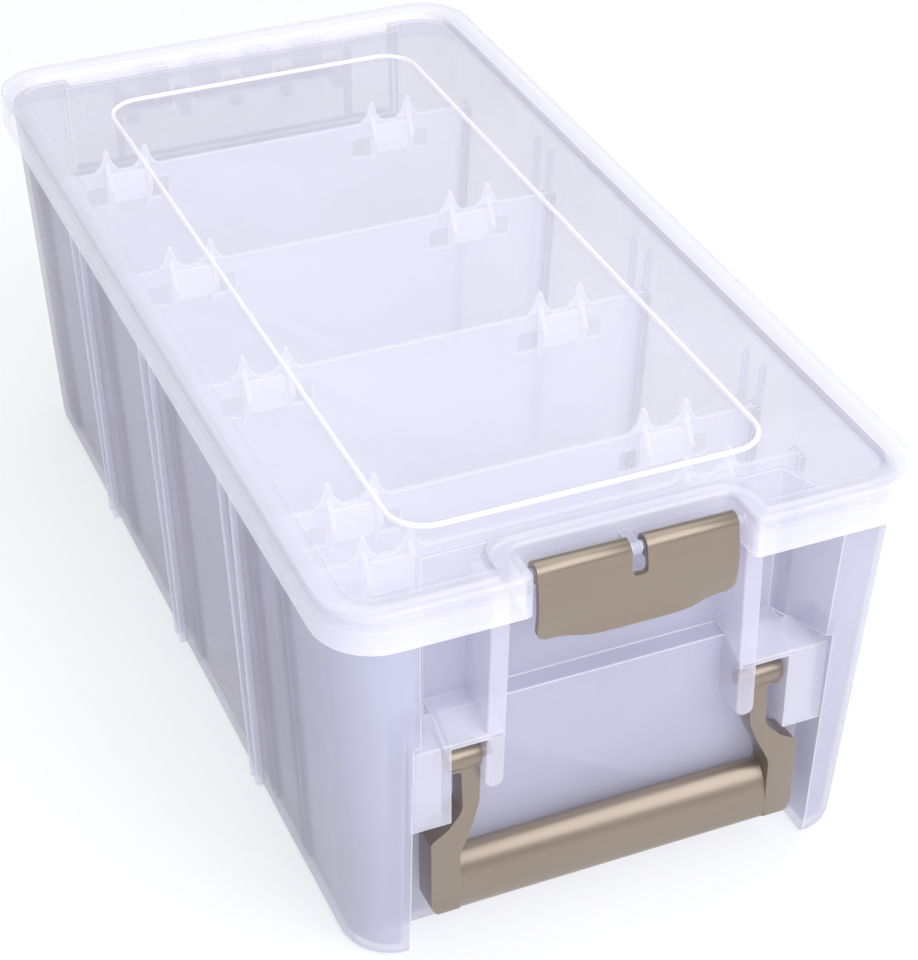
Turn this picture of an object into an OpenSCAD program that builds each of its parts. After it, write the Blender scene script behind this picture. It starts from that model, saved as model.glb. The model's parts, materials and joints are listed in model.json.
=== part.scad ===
// Latching storage box: a tapered tub with a recessed carrying end, a hinged lid,
// a draw latch, a fold-down bail handle and five dividers.
// The box stands on z = 0. The latch and handle face -Y, the hinge faces +Y.

/* [Box] */
// Width over the lid
box_width = 200; // [180:1:240]
// Length over the lid
box_length = 390; // [360:1:460]
// Height over the lid's raised rim
box_height = 151; // [140:1:200]

/* [Lid] */
// Height of the skirt that overhangs the tub
lid_skirt_height = 15; // [12:0.5:18]
// Thickness of the skirt
lid_wall = 2; // [1.6:0.1:3]
// Thickness of the top plate
lid_plate = 2.4; // [2:0.1:3]
// Radius of the lid's corners
lid_corner = 20; // [15:0.5:26]
// Width of the raised rim
rim_width = 10; // [8:0.5:13]
// Height of the raised rim above the plate
rim_height = 3; // [2:0.25:4]
// Width of the panel framed by the bead
panel_width = 129; // [100:1:140]
// Length of the panel framed by the bead
panel_length = 314; // [280:1:324]
// Corner radius of the panel
panel_corner = 14; // [10:1:20]
// Width of the bead
bead_width = 1.8; // [1.2:0.1:3]
// Height of the bead above the plate
bead_height = 0.9; // [0.5:0.1:2]
// Depth of the notch for the latch
notch_depth = 17; // [15:0.5:18]

/* [Tub] */
// Width at the foot
foot_width = 180; // [150:1:186]
// Length at the foot
foot_length = 366; // [340:1:374]
// Thickness of walls and floor
tub_wall = 2; // [1.6:0.1:3]
// Radius of the upright corners
tub_corner = 18; // [14:0.5:22]
// Size of the rounding round the foot
foot_rounding = 3; // [1:0.5:5]
// Gap between the tub's rim and the lid's skirt
skirt_gap = 2; // [1:0.1:3]
// Gap between the tub's rim and the lid's plate
seat_gap = 0.5; // [0.3:0.1:1]

/* [Carrying end] */
// Width of the recess that the handle hangs in
recess_width = 145; // [138:1:156]
// Height of the recess
recess_height = 91; // [86:1:96]
// Depth of the recess's wall behind the end of the lid, at the floor
recess_depth_low = 25.5; // [24:0.5:30]
// Depth of the recess's wall behind the end of the lid, at its top
recess_depth_high = 21.2; // [20:0.1:22]
// Width of the set-back wall above the ledge
setback_width = 122; // [110:1:130]
// Width between the set-back space's side walls where they reach the end of the lid
setback_mouth = 147; // [132:1:148]
// Depth of the set-back wall behind the end of the lid
setback_depth = 28.5; // [25:0.5:32]
// Depth of the bracket's front face behind the end of the lid
bracket_depth = 10; // [9:0.25:11]
// Thickness of the ear beside each end of the handle
ear_width = 6.4; // [4:0.2:8]
// Sideways lean of the ears from top to bottom
ear_lean = 1.6; // [0:0.1:3]
// Height of the ears' lower ends
ear_bottom = 64; // [60:0.5:68]
// Height of the housings' lower ends
housing_bottom = 56; // [54:0.5:62]
// Drop of the bracket's roof from back to front
roof_drop = 5; // [3:0.5:7]
// Wall of the housings that carry the outer pins
cheek = 2.4; // [2:0.1:3]
// Thickness of the bracket's roof
roof_thickness = 2; // [1.6:0.1:3]
// Width of the catch that the latch snaps over
catch_width = 54; // [40:1:60]
// Thickness of the catch
catch_thickness = 3; // [2:0.25:4]
// Height of the gussets under the catch
catch_gusset = 9; // [5:0.5:14]

/* [Channel ribs] */
// Spacing of the pairs of outer ribs
rib_pitch = 87; // [75:1:94]
// Width of a rib
rib_width = 2; // [1.4:0.1:3]
// Height of a rib above the wall
rib_proud = 2.6; // [1.5:0.1:3]
// Spacing of a pair of outer ribs at the top
rib_spread_top = 12; // [9:0.5:16]
// Spacing of a pair of outer ribs at the foot
rib_spread_foot = 5.5; // [4:0.5:9]
// Height of the ribs' upper ends
rib_top = 132; // [110:1:134]

/* [Latch] */
// Width of the latch
latch_width = 67; // [50:1:70]
// Height of the latch
latch_height = 27; // [24:0.5:29]
// Thickness of the latch's plate
latch_plate = 2.2; // [1.6:0.1:2.6]
// Radius of the rolled upper edge
latch_barrel = 3.6; // [3.2:0.1:4]
// Radius of the lid's rod inside the rolled edge
latch_rod = 1.7; // [1.2:0.1:2]
// Gap at each side of the latch
latch_side_gap = 3; // [1:0.25:4]
// Width of the slot in the middle of the rolled edge
slot_width = 5.2; // [4:0.2:8]
// Height of that slot
slot_height = 10.8; // [9:0.2:13]
// Radius of the latch's lower corners
latch_corner = 3; // [1:0.25:5]
// Distance that the thumb lip flares out
lip_flare = 3; // [1.5:0.25:3.5]
// Width of the thumb lip
lip_width = 44; // [30:1:48]

/* [Handle] */
// Width over the end blocks
handle_width = 131; // [126:1:134]
// Height of the pivot
pivot_height = 75; // [73:0.25:77]
// Depth of the pivot behind the end of the lid
pivot_depth = 16.7; // [16:0.1:17]
// Radius of the barrels
barrel_radius = 4.5; // [4:0.1:4.6]
// Length of a barrel
barrel_length = 10.6; // [9:0.2:11]
// Radius of the pivot pins
pin_radius = 2.2; // [1.6:0.1:2.6]
// Reach of the inner pins beyond the barrels
pin_reach = 4.5; // [3:0.25:5]
// Height of the handle's lower edge
handle_bottom = 14; // [10:0.5:16]
// Height of the grip's section
grip_height = 21; // [17:0.5:24]
// Front-to-back size of the grip
grip_depth = 12.4; // [11:0.2:12.4]
// Width of an end block
block_width = 10; // [9:0.5:13]
// Height of an end block
block_height = 33; // [28:0.5:34]
// Width of an arm below its barrel
arm_width = 5.4; // [4.5:0.1:6.5]

/* [Hinge] */
// Height of the hinge bar
hinge_height = 130; // [127:0.5:131]
// Depth of the hinge bar inside the back of the lid
hinge_inset = 6; // [5:0.25:7]
// Radius of the hinge bar
hinge_bar = 2.2; // [1.6:0.1:2.6]
// Wall of the claws that clip round the bar
claw_wall = 2; // [1.6:0.1:2.2]
// Width of a claw
claw_width = 12; // [8:0.5:14]
// Spacing of the claws
claw_pitch = 22.4; // [21:0.2:26]
// Thickness of the lugs that carry the bar
lug_width = 5; // [3:0.25:6]
// Width of the hinge recess
hinge_recess_width = 140; // [120:1:150]
// Height of the hinge recess's ledge
hinge_ledge = 107; // [90:1:112]
// Depth of the hinge recess inside the back of the lid
hinge_recess_depth = 11; // [11:0.25:24]

/* [Dividers] */
// Space behind the rear divider
rear_space = 26; // [20:0.5:40]
// Space in front of the front divider
front_space = 37.5; // [30:0.5:45]
// Distance between the last two dividers at the front
front_pitch = 31; // [24:0.5:45]
// Thickness of a divider
divider_thickness = 2; // [1.4:0.1:3]
// Height of a divider's upper edge
divider_top = 119; // [95:1:124]
// Height of the tabs on the upper edge
tab_height = 9; // [5:0.5:12]
// Width of a tab's foot
tab_width = 10; // [7:0.5:12]
// Distance of the inner tabs from the middle
tab_inner = 49; // [45:0.5:52]
// Distance of the outer tabs from the middle
tab_outer = 65; // [62:0.5:70]
// Height of the fin in front of each tab, below the upper edge
fin_height = 19; // [12:0.5:24]
// Front-to-back size of a fin
fin_depth = 6; // [4:0.5:8]
// Thickness of the finger pad between two tabs
pad_depth = 1.5; // [1:0.1:2.5]
// Height of a finger pad
pad_height = 13; // [8:0.5:16]
// Width of the windows beside the tabs
window_width = 9; // [6:0.5:11]
// Height of the windows
window_height = 8.5; // [6:0.5:14]
// Distance of the windows below the upper edge
window_drop = 6.5; // [4:0.5:10]

/* [Hidden] */
$fn = 64;
hull_fn = 32;
overlap = 0.5;                    // how far joined features run into each other
cut = 1;                          // how far a cut runs past a face
turning_gap = 0.08;               // radial clearance of every pin and bar
end_gap = 0.4;                    // end clearance of the handle's barrels
snap_gap = 0.35;                  // gap between the latch's hook and the catch
slide_gap = 0.5;                  // gap between a divider and the tub
far = box_length;                 // reaches past everything
level_thickness = 0.01;           // of the thin slices that the tub is hulled from

plate_top = box_height - rim_height;
plate_under = plate_top - lid_plate;
skirt_bottom = box_height - lid_skirt_height;
tub_top = plate_under - seat_gap;
rim_out_width = box_width - 2 * (lid_wall + skirt_gap);
rim_out_length = box_length - 2 * (lid_wall + skirt_gap);

front = -box_length / 2;
back = box_length / 2;
wall_low = front + recess_depth_low;
wall_high = front + recess_depth_high;
wall_set = front + setback_depth;
bracket_front = front + bracket_depth;
latch_axis = [front + 9, plate_top - latch_barrel + 1];
pivot = [front + pivot_depth, pivot_height];
hinge = [back - hinge_inset, hinge_height];
notch_width = latch_width + 2 * latch_side_gap;
notch_back = front + notch_depth;
ear_inner_top = notch_width / 2 + lid_wall + 1;
ear_inner_foot = ear_inner_top + ear_lean;
barrel_inner = ear_inner_foot + ear_width + end_gap;
barrel_outer = barrel_inner + barrel_length;
housing_inner = barrel_outer + end_gap;
handle_behind = pivot[0] + barrel_radius;
latch_foot = latch_axis[1] + latch_barrel - latch_height;
latch_face = latch_axis[0] - latch_barrel;
catch_top = latch_foot + 8;
catch_front = latch_face + latch_plate + 4.3;
hook_top = catch_top - catch_thickness - 0.8;
lug_radius = hinge_bar + turning_gap + 1.5;
latch_lug_radius = latch_rod + 1.3;
tab_middle = (tab_inner + tab_outer) / 2;
window_offset = (tab_outer - tab_inner) / 2 + tab_width / 2 - 0.5;

// Places of the dividers along the tub
rear_place = back - hinge_recess_depth - tub_wall - rear_space;
front_place = wall_set + tub_wall + front_space;
fourth_place = front_place + front_pitch;
divider_pitch = (rear_place - fourth_place) / 3;
second_place = rear_place - divider_pitch;
middle_place = fourth_place + divider_pitch;
divider_places = [rear_place, second_place, middle_place, fourth_place, front_place];

function tub_half_width(z) = foot_width / 2 + (rim_out_width - foot_width) / 2 * z / tub_top;
function tub_half_length(z) = foot_length / 2 + (rim_out_length - foot_length) / 2 * z / tub_top;
function recess_wall(z) = wall_low + (wall_high - wall_low) * z / recess_height;

// ---- shared shapes ----

// Rectangle with round corners, centred on the origin
module rounded(width, length, corner) {
    square([width - 2 * corner, length], center = true);
    square([width, length - 2 * corner], center = true);
    for (sx = [-1, 1], sy = [-1, 1])
        translate([sx * (width / 2 - corner), sy * (length / 2 - corner)]) circle(corner);
}

// Extrudes a YZ outline along X, centred on x
module along_x(width, x = 0) {
    translate([x - width / 2, 0, 0]) rotate([90, 0, 90]) linear_extrude(width) children();
}

// Extrudes an XZ outline along Y, from y0 to y1
module along_y(y0, y1) {
    translate([0, y1, 0]) rotate([90, 0, 0]) linear_extrude(y1 - y0) children();
}

// Round bar along X, centred on x, at the YZ place given
module bar(radius, width, place, x = 0) {
    translate([x - width / 2, place[0], place[1]]) rotate([0, 90, 0]) cylinder(h = width, r = radius);
}

module both_sides() {
    children();
    mirror([1, 0, 0]) children();
}

// ---- tub ----

// One level of the tapered tub
module tub_level(z, inset) {
    width = 2 * (tub_half_width(z) - inset);
    length = 2 * (tub_half_length(z) - inset);
    translate([0, 0, z]) linear_extrude(level_thickness)
        rounded(width, length, tub_corner - inset, $fn = hull_fn);
}

module tub_outside() {
    hull() {
        tub_level(0, foot_rounding * 0.7);
        tub_level(foot_rounding * 0.35, foot_rounding * 0.2);
        tub_level(foot_rounding, 0);
        tub_level(tub_top - level_thickness, 0);
    }
}

module tub_inside() {
    hull() {
        tub_level(tub_wall, tub_wall + foot_rounding * 0.7);
        tub_level(tub_wall + foot_rounding, tub_wall);
        tub_level(tub_top + cut, tub_wall);
    }
}

// Space taken out of both ends; grow = 0 for the outside, the wall for the inside
module end_recesses(grow) {
    along_x(recess_width + 2 * grow)
        polygon([[front - cut, -cut], [recess_wall(0) + grow, -cut],
            [recess_wall(recess_height + grow) + grow, recess_height + grow],
            [front - cut, recess_height + grow]]);
    translate([0, 0, recess_height - overlap - grow])
        linear_extrude(tub_top - recess_height + 3 * cut + grow) polygon([
            [-setback_width / 2 - grow, wall_set + grow], [setback_width / 2 + grow, wall_set + grow],
            [setback_mouth / 2 + grow, front - cut], [-setback_mouth / 2 - grow, front - cut]]);
    along_x(hinge_recess_width + 2 * grow)
        polygon([[back + cut, hinge_ledge - grow], [back - hinge_recess_depth - grow, hinge_ledge - grow],
            [back - hinge_recess_depth - grow, tub_top + 2 * cut], [back + cut, tub_top + 2 * cut]]);
}

// YZ outline of the space between the bracket's front face and the walls behind it
module bracket_space(low, high) {
    polygon([[bracket_front, low], [recess_wall(low) + overlap, low],
        [wall_high + overlap, recess_height], [wall_set + overlap, recess_height],
        [wall_set + overlap, high], [bracket_front, high]]);
}

module ear() {
    intersection() {
        along_x(far) bracket_space(ear_bottom, skirt_bottom + 3);
        along_y(front, 0) {
            polygon([[ear_inner_top, skirt_bottom + 4], [ear_inner_top + ear_width, skirt_bottom + 4],
                [ear_inner_foot + ear_width, ear_bottom + ear_width / 2],
                [ear_inner_foot, ear_bottom + ear_width / 2]]);
            translate([ear_inner_foot + ear_width / 2, ear_bottom + ear_width / 2]) circle(ear_width / 2);
        }
    }
}

module roof() {
    x0 = ear_inner_foot;
    x1 = housing_inner + cheek;
    along_x(x1 - x0, (x0 + x1) / 2)
        polygon([[wall_set + overlap, recess_height], [wall_high - 1, recess_height],
            [bracket_front, recess_height - roof_drop],
            [bracket_front, recess_height - roof_drop - roof_thickness],
            [wall_high - 1, recess_height - roof_thickness],
            [wall_set + overlap, recess_height - roof_thickness]]);
}

// Hollow housing beside each end block, open below
module housing() {
    x0 = housing_inner;
    x1 = recess_width / 2 + overlap;
    pocket_top = recess_height - roof_drop - cheek;
    difference() {
        along_x(x1 - x0, (x0 + x1) / 2)
            polygon([[bracket_front, housing_bottom], [recess_wall(housing_bottom) + overlap, housing_bottom],
                [wall_high + overlap, recess_height], [wall_high - 1, recess_height],
                [bracket_front, recess_height - roof_drop]]);
        along_x(x1 - x0 - 2 * cheek, (x0 + x1) / 2)
            polygon([[bracket_front + cheek, housing_bottom - cut],
                [recess_wall(housing_bottom), housing_bottom - cut],
                [recess_wall(pocket_top), pocket_top],
                [bracket_front + cheek, pocket_top]]);
    }
}

// Ledge on the set-back wall that the latch's hook snaps under, on three gussets
module catch() {
    along_x(catch_width)
        polygon([[wall_set + overlap, catch_top], [catch_front + 0.8, catch_top],
            [catch_front, catch_top - 0.8], [catch_front, catch_top - catch_thickness],
            [wall_set + overlap, catch_top - catch_thickness]]);
    for (x = [-1, 0, 1] * (catch_width / 2 - 4))
        along_x(tub_wall, x)
            polygon([[wall_set + overlap, catch_top - catch_thickness],
                [catch_front + 3, catch_top - catch_thickness],
                [wall_set + overlap, catch_top - catch_thickness - catch_gusset]]);
}

module hinge_lugs() {
    reach = back - hinge_recess_depth - overlap;
    for (x = [-2, -1, 0, 1, 2] * claw_pitch)
        along_x(lug_width, x) {
            polygon([[reach, hinge[1] - 7], [reach, hinge[1] + 5], [hinge[0], hinge[1] + lug_radius],
                [hinge[0] + lug_radius, hinge[1]], [hinge[0], hinge[1] - lug_radius]]);
            translate(hinge) circle(lug_radius);
        }
    bar(hinge_bar, 4 * claw_pitch, hinge);
}

// Two outer ribs that lean towards each other
module outer_ribs(y) {
    foot = foot_rounding;
    wall_foot = tub_half_width(foot);
    wall_top = tub_half_width(rib_top);
    for (side = [-1, 1])
        intersection() {
            along_y(-far, far)
                polygon([[wall_foot - overlap, foot], [wall_foot + rib_proud, foot],
                    [wall_top + rib_proud * 0.7, rib_top], [wall_top - overlap, rib_top]]);
            along_x(far)
                polygon([[y + side * rib_spread_foot / 2 - rib_width / 2, 0],
                    [y + side * rib_spread_foot / 2 + rib_width / 2, 0],
                    [y + side * rib_spread_top / 2 + rib_width / 2, rib_top + cut],
                    [y + side * rib_spread_top / 2 - rib_width / 2, rib_top + cut]]);
        }
}

// Two inner ribs that hold a divider's edge between them
module inner_ribs(y) {
    wall_foot = tub_half_width(tub_wall) - tub_wall;
    wall_top = tub_half_width(divider_top) - tub_wall;
    offset_y = divider_thickness / 2 + slide_gap + rib_width / 2;
    for (side = [-1, 1])
        translate([0, side * offset_y, 0])
            along_y(y - rib_width / 2, y + rib_width / 2)
                polygon([[wall_foot + overlap, tub_wall], [wall_foot - rib_proud, tub_wall],
                    [wall_top - rib_proud, divider_top], [wall_top + overlap, divider_top]]);
}

// Bores through the ears, and into the housings, for the handle's pins
module pin_bores() {
    middle = (barrel_inner + barrel_outer) / 2;
    both_sides() bar(pin_radius + turning_gap, barrel_length + 2 * (ear_width + cut), pivot, middle);
}

module tub() {
    color([0.86, 0.86, 0.95, 0.6])
    difference() {
        union() {
            difference() {
                difference() {
                    tub_outside();
                    end_recesses(0);
                }
                difference() {
                    tub_inside();
                    end_recesses(tub_wall);
                }
            }
            both_sides() {
                ear();
                roof();
                housing();
                for (y = [-1, 0, 1] * rib_pitch) outer_ribs(y);
                for (y = divider_places) inner_ribs(y);
            }
            catch();
            hinge_lugs();
        }
        pin_bores();
    }
}

// ---- lid ----

// Plan of the lid drawn in by inset, with the notch for the latch grown by as much
module lid_plan(inset) {
    difference() {
        rounded(box_width - 2 * inset, box_length - 2 * inset, lid_corner - inset);
        translate([-notch_width / 2 - inset, front - cut])
            square([notch_width + 2 * inset, notch_depth + inset + cut]);
    }
}

module lid_shell() {
    difference() {
        translate([0, 0, skirt_bottom]) linear_extrude(lid_skirt_height) lid_plan(0);
        translate([0, 0, plate_top]) linear_extrude(rim_height + cut) lid_plan(rim_width);
        translate([0, 0, skirt_bottom - cut])
            linear_extrude(plate_under - skirt_bottom + cut) lid_plan(lid_wall);
        translate([0, 0, plate_under - overlap]) linear_extrude(rim_height + overlap)
            difference() {
                lid_plan(lid_wall);
                lid_plan(rim_width - lid_wall);
            }
    }
}

module bead() {
    translate([0, 0, plate_top - overlap]) linear_extrude(bead_height + overlap)
        difference() {
            rounded(panel_width, panel_length, panel_corner);
            rounded(panel_width - 2 * bead_width, panel_length - 2 * bead_width, panel_corner - bead_width);
        }
}

// Rod that the latch turns on, carried by the notch's sides and by a lug in the middle
module latch_rod_and_lug() {
    lug_width = slot_width - 2;
    y = latch_axis[0];
    z = latch_axis[1];
    bar(latch_rod, notch_width + 2 * overlap, latch_axis);
    bar(latch_lug_radius, lug_width, latch_axis);
    along_x(lug_width)
        polygon([[y, z - latch_lug_radius], [notch_back + overlap, z - latch_lug_radius - 1.7],
            [notch_back + overlap, plate_under], [y, z + latch_lug_radius]]);
}

// Claws that clip round the hinge bar, each open below
module claws() {
    outer = hinge_bar + turning_gap + claw_wall;
    for (x = [-1.5, -0.5, 0.5, 1.5] * claw_pitch)
        difference() {
            union() {
                bar(outer, claw_width, hinge, x);
                along_x(claw_width, x)
                    polygon([[hinge[0] - outer, hinge[1]], [hinge[0] - claw_wall, plate_under + overlap],
                        [back - lid_wall + overlap, plate_under + overlap],
                        [back - lid_wall + overlap, skirt_bottom],
                        [hinge[0] + outer, hinge[1]]]);
            }
            bar(hinge_bar + turning_gap, claw_width + cut, hinge, x);
            translate([x - claw_width, hinge[0] - hinge_bar * 0.8, hinge[1] - outer - cut])
                cube([2 * claw_width, hinge_bar * 1.6, outer + cut]);
        }
}

module lid() {
    color([0.93, 0.93, 0.99, 0.5]) {
        lid_shell();
        bead();
        latch_rod_and_lug();
        claws();
    }
}

// ---- latch ----

// Side view of the latch: rolled edge, curved plate and a lip at the foot
module latch_profile(flare) {
    y = latch_face;
    foot = latch_foot;
    translate(latch_axis) circle(latch_barrel);
    polygon([[y, latch_axis[1]], [y - 0.5, foot + 14], [y - 0.7, foot + 6], [y - 0.7 - flare, foot],
        [y - 0.7 - flare + latch_plate, foot - 0.3], [y + latch_plate - 0.5, foot + 5],
        [y + latch_plate - 0.3, foot + 14], [y + latch_plate, latch_axis[1]]]);
}

module latch() {
    color([0.60, 0.54, 0.46])
    difference() {
        union() {
            intersection() {
                along_x(latch_width) latch_profile(0.6);
                along_y(front - cut, 0) {
                    translate([0, latch_foot + latch_height / 2])
                        rounded(latch_width, latch_height, latch_corner);
                    translate([-latch_width / 2, latch_foot + latch_corner])
                        square([latch_width, latch_height]);
                }
            }
            intersection() {
                along_x(lip_width) latch_profile(lip_flare);
                translate([-far / 2, -far, latch_foot - cut]) cube([far, far, 10]);
            }
            hook();
        }
        bar(latch_rod + turning_gap, latch_width + cut, latch_axis);
        translate([-slot_width / 2, front - cut, latch_foot + latch_height - slot_height])
            cube([slot_width, notch_depth, slot_height + cut]);
    }
}

// Inner ridge that snaps past the front of the catch
module hook() {
    y = latch_face + latch_plate - 1.2;
    along_x(catch_width - 6)
        polygon([[y, hook_top], [catch_front - snap_gap, hook_top],
            [catch_front - snap_gap, hook_top - 1], [y, hook_top - 4]]);
}

// ---- handle ----

// Front view of one arm, from its barrel down to its end block
module arm_outline() {
    inner = barrel_inner;
    outer = handle_width / 2;
    joint = outer - block_width;
    top = handle_bottom + block_height;
    z = pivot_height;
    polygon([[inner, z], [inner - 0.2, z - 9], [inner, z - 15], [inner + 0.9, z - 20],
        [inner + 3, z - 25.5], [joint - 1.2, z - 32], [joint, z - 36], [joint, handle_bottom],
        [outer - 2.5, handle_bottom], [outer, handle_bottom + 3.5], [outer, top - 3],
        [outer - 1, top - 1], [outer - 4, top + 1], [inner + arm_width + 1.6, top + 3.5],
        [inner + arm_width + 0.2, top + 6], [inner + arm_width, top + 9],
        [inner + arm_width, z - barrel_radius], [barrel_outer, z - barrel_radius], [barrel_outer, z]]);
}

// Side view of the whole handle, which follows the recess's wall behind it
module handle_profile() {
    behind = handle_behind;
    face = behind - grip_depth;
    polygon([[face + 1.2, pivot_height], [face, pivot_height - 7], [face - 0.2, handle_bottom + 3],
        [face + 1.6, handle_bottom], [behind - 1.5, handle_bottom], [behind, handle_bottom + 2],
        [behind, handle_bottom + block_height + 2], [behind - 1.2, pivot_height]]);
}

// Half-round grip between the end blocks
module grip() {
    middle = handle_bottom + grip_height / 2;
    centre = handle_behind - grip_depth + grip_height / 2;
    along_x(handle_width - 2 * block_width + 2 * overlap)
        intersection() {
            translate([centre, middle]) circle(grip_height / 2);
            translate([handle_behind - grip_depth, handle_bottom]) square([grip_depth, grip_height]);
        }
}

module handle() {
    color([0.60, 0.54, 0.46]) {
        grip();
        both_sides() {
            intersection() {
                along_x(far) handle_profile();
                along_y(front, 0) arm_outline();
            }
            bar(barrel_radius, barrel_length, pivot, (barrel_inner + barrel_outer) / 2);
            bar(pin_radius, pin_reach + overlap, pivot, barrel_inner - (pin_reach - overlap) / 2);
            bar(pin_radius, cheek + 1.5, pivot, barrel_outer + cheek / 2);
        }
    }
}

// ---- dividers ----

// Tab that rises from a divider's upper edge to a narrow tip
module tab_outline(x) {
    foot = tab_width / 2;
    polygon([[x - foot, divider_top - overlap], [x + foot, divider_top - overlap], [x + foot, divider_top],
        [x + foot * 0.35, divider_top + tab_height * 0.4], [x + 0.6, divider_top + tab_height],
        [x - 0.6, divider_top + tab_height], [x - foot * 0.35, divider_top + tab_height * 0.4],
        [x - foot, divider_top]]);
}

// Front view of a divider: a plate that follows the tub's taper, with tabs and windows
module divider_outline() {
    side = function(z) tub_half_width(z) - tub_wall - slide_gap;
    corner = foot_rounding + 1;
    difference() {
        union() {
            polygon([[-side(tub_wall) + corner, tub_wall], [side(tub_wall) - corner, tub_wall],
                [side(corner), tub_wall + corner], [side(divider_top), divider_top],
                [-side(divider_top), divider_top], [-side(corner), tub_wall + corner]]);
            for (x = [-tab_outer, -tab_inner, tab_inner, tab_outer]) tab_outline(x);
        }
        both_sides()
            for (x = [tab_middle - window_offset, tab_middle + window_offset])
                translate([x - window_width / 2, divider_top - window_drop - window_height])
                    square([window_width, window_height]);
    }
}

// Divider with a fin in front of each tab and a finger pad between two tabs
module divider(y) {
    face = y - divider_thickness / 2;
    pad_width = tab_outer - tab_inner - divider_thickness;
    color([0.90, 0.90, 0.97, 0.6]) {
        along_y(face, face + divider_thickness) divider_outline();
        both_sides() {
            along_x(pad_width, tab_middle)
                translate([face - pad_depth, divider_top - pad_height - 1])
                    square([pad_depth + overlap, pad_height]);
            for (x = [tab_inner, tab_outer])
                along_x(divider_thickness, x)
                    polygon([[face + overlap, divider_top + tab_height / 2],
                        [face - fin_depth, divider_top - fin_depth],
                        [face + overlap, divider_top - fin_height]]);
        }
    }
}

module divider_rear() { divider(rear_place); }
module divider_second() { divider(second_place); }
module divider_middle() { divider(middle_place); }
module divider_fourth() { divider(fourth_place); }
module divider_front() { divider(front_place); }

tub();
lid();
latch();
handle();
divider_rear();
divider_second();
divider_middle();
divider_fourth();
divider_front();
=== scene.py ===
"""Latching storage box: modelled pieces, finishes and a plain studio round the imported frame."""

import json
import logging
import math
from collections.abc import Callable, Sequence
from dataclasses import dataclass, field
from enum import Enum

import bpy
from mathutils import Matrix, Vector

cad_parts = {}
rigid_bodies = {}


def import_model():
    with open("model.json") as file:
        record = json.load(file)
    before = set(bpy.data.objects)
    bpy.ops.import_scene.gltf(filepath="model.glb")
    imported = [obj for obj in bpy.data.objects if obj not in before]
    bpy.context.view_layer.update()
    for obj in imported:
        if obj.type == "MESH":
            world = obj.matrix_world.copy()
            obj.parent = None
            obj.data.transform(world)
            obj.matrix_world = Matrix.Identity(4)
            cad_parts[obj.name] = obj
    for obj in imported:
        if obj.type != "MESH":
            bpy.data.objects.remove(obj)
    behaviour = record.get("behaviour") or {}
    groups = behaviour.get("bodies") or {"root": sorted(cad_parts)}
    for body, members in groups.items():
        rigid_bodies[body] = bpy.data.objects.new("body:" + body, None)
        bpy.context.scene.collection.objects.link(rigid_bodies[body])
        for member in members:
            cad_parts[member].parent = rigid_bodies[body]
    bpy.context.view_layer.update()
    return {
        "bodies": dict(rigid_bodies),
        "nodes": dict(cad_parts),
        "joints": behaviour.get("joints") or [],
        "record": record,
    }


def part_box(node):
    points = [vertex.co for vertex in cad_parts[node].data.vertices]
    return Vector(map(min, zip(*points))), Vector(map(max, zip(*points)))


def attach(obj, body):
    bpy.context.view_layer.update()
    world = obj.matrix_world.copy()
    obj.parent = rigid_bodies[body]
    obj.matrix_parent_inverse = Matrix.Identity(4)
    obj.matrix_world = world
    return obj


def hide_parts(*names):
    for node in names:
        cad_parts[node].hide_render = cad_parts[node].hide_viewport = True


MM = 0.001
SINK = 0.5  # how far a piece reaches into the one that carries it, in millimetres
OVERREACH = 5.0  # how far a cutter reaches past what it cuts, in millimetres
MOULDED = 0.4  # rounding of most moulded edges, in millimetres
LOG = logging.getLogger("storage_box")
DIVIDERS = ("divider_rear", "divider_second", "divider_middle", "divider_fourth", "divider_front")
Point = tuple[float, float, float]
Colour = tuple[float, float, float]
Flat = tuple[float, float]


class Body(Enum):
    """Moving bodies of the frame."""

    TUB = "tub"
    LID = "lid"
    LATCH = "latch"
    HANDLE = "handle"


class Slot(Enum):
    """Material slots of the record."""

    FROSTED = "frosted_plastic"
    CLEAR = "clear_lid_plastic"
    PAINT = "champagne_paint"
    DIVIDER = "divider_plastic"


class Plane(Enum):
    """Plane that an outline is drawn in, with the axis it is extruded along."""

    XY = "z"
    XZ = "y"
    YZ = "x"

    def place(self, flat: Flat, along: float) -> Point:
        """Returns the point in space of a flat point at a distance along the axis."""
        if self is Plane.XY:
            return (flat[0], flat[1], along)
        if self is Plane.XZ:
            return (flat[0], along, flat[1])
        return (along, flat[0], flat[1])


@dataclass(frozen=True)
class Corner:
    """Corner of an outline in millimetres, rounded by a radius."""

    u: float
    v: float
    radius: float = 0.0
    steps: int = 4


@dataclass(frozen=True)
class NodeBox:
    """Lowest and highest corner of a node, in millimetres."""

    low: Vector
    high: Vector

    @classmethod
    def of(cls, node: str) -> "NodeBox":
        """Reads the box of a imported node.

        Args:
            node: Name of the node.

        Returns:
            Its box in millimetres.
        """
        low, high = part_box(node)
        return cls(low / MM, high / MM)


# ---------------------------------------------------------------- modelling


def deselect_all() -> None:
    """Leaves nothing selected."""
    for thing in bpy.context.selected_objects:
        thing.select_set(False)


def make_active(thing: bpy.types.Object) -> None:
    """Selects one object alone and makes it active."""
    deselect_all()
    thing.select_set(True)
    bpy.context.view_layer.objects.active = thing


def edit(thing: bpy.types.Object, *steps: Callable[[], object]) -> None:
    """Runs operators on an object in edit mode.

    Args:
        thing: The object.
        steps: Calls to make in order.
    """
    make_active(thing)
    bpy.ops.object.mode_set(mode="EDIT")
    for step in steps:
        step()
    bpy.ops.object.mode_set(mode="OBJECT")


def select_all() -> None:
    """Selects all elements in edit mode."""
    bpy.ops.mesh.select_all(action="SELECT")


def face_outwards() -> None:
    """Turns all faces of the edited mesh outwards."""
    select_all()
    bpy.ops.mesh.normals_make_consistent(inside=False)


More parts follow.
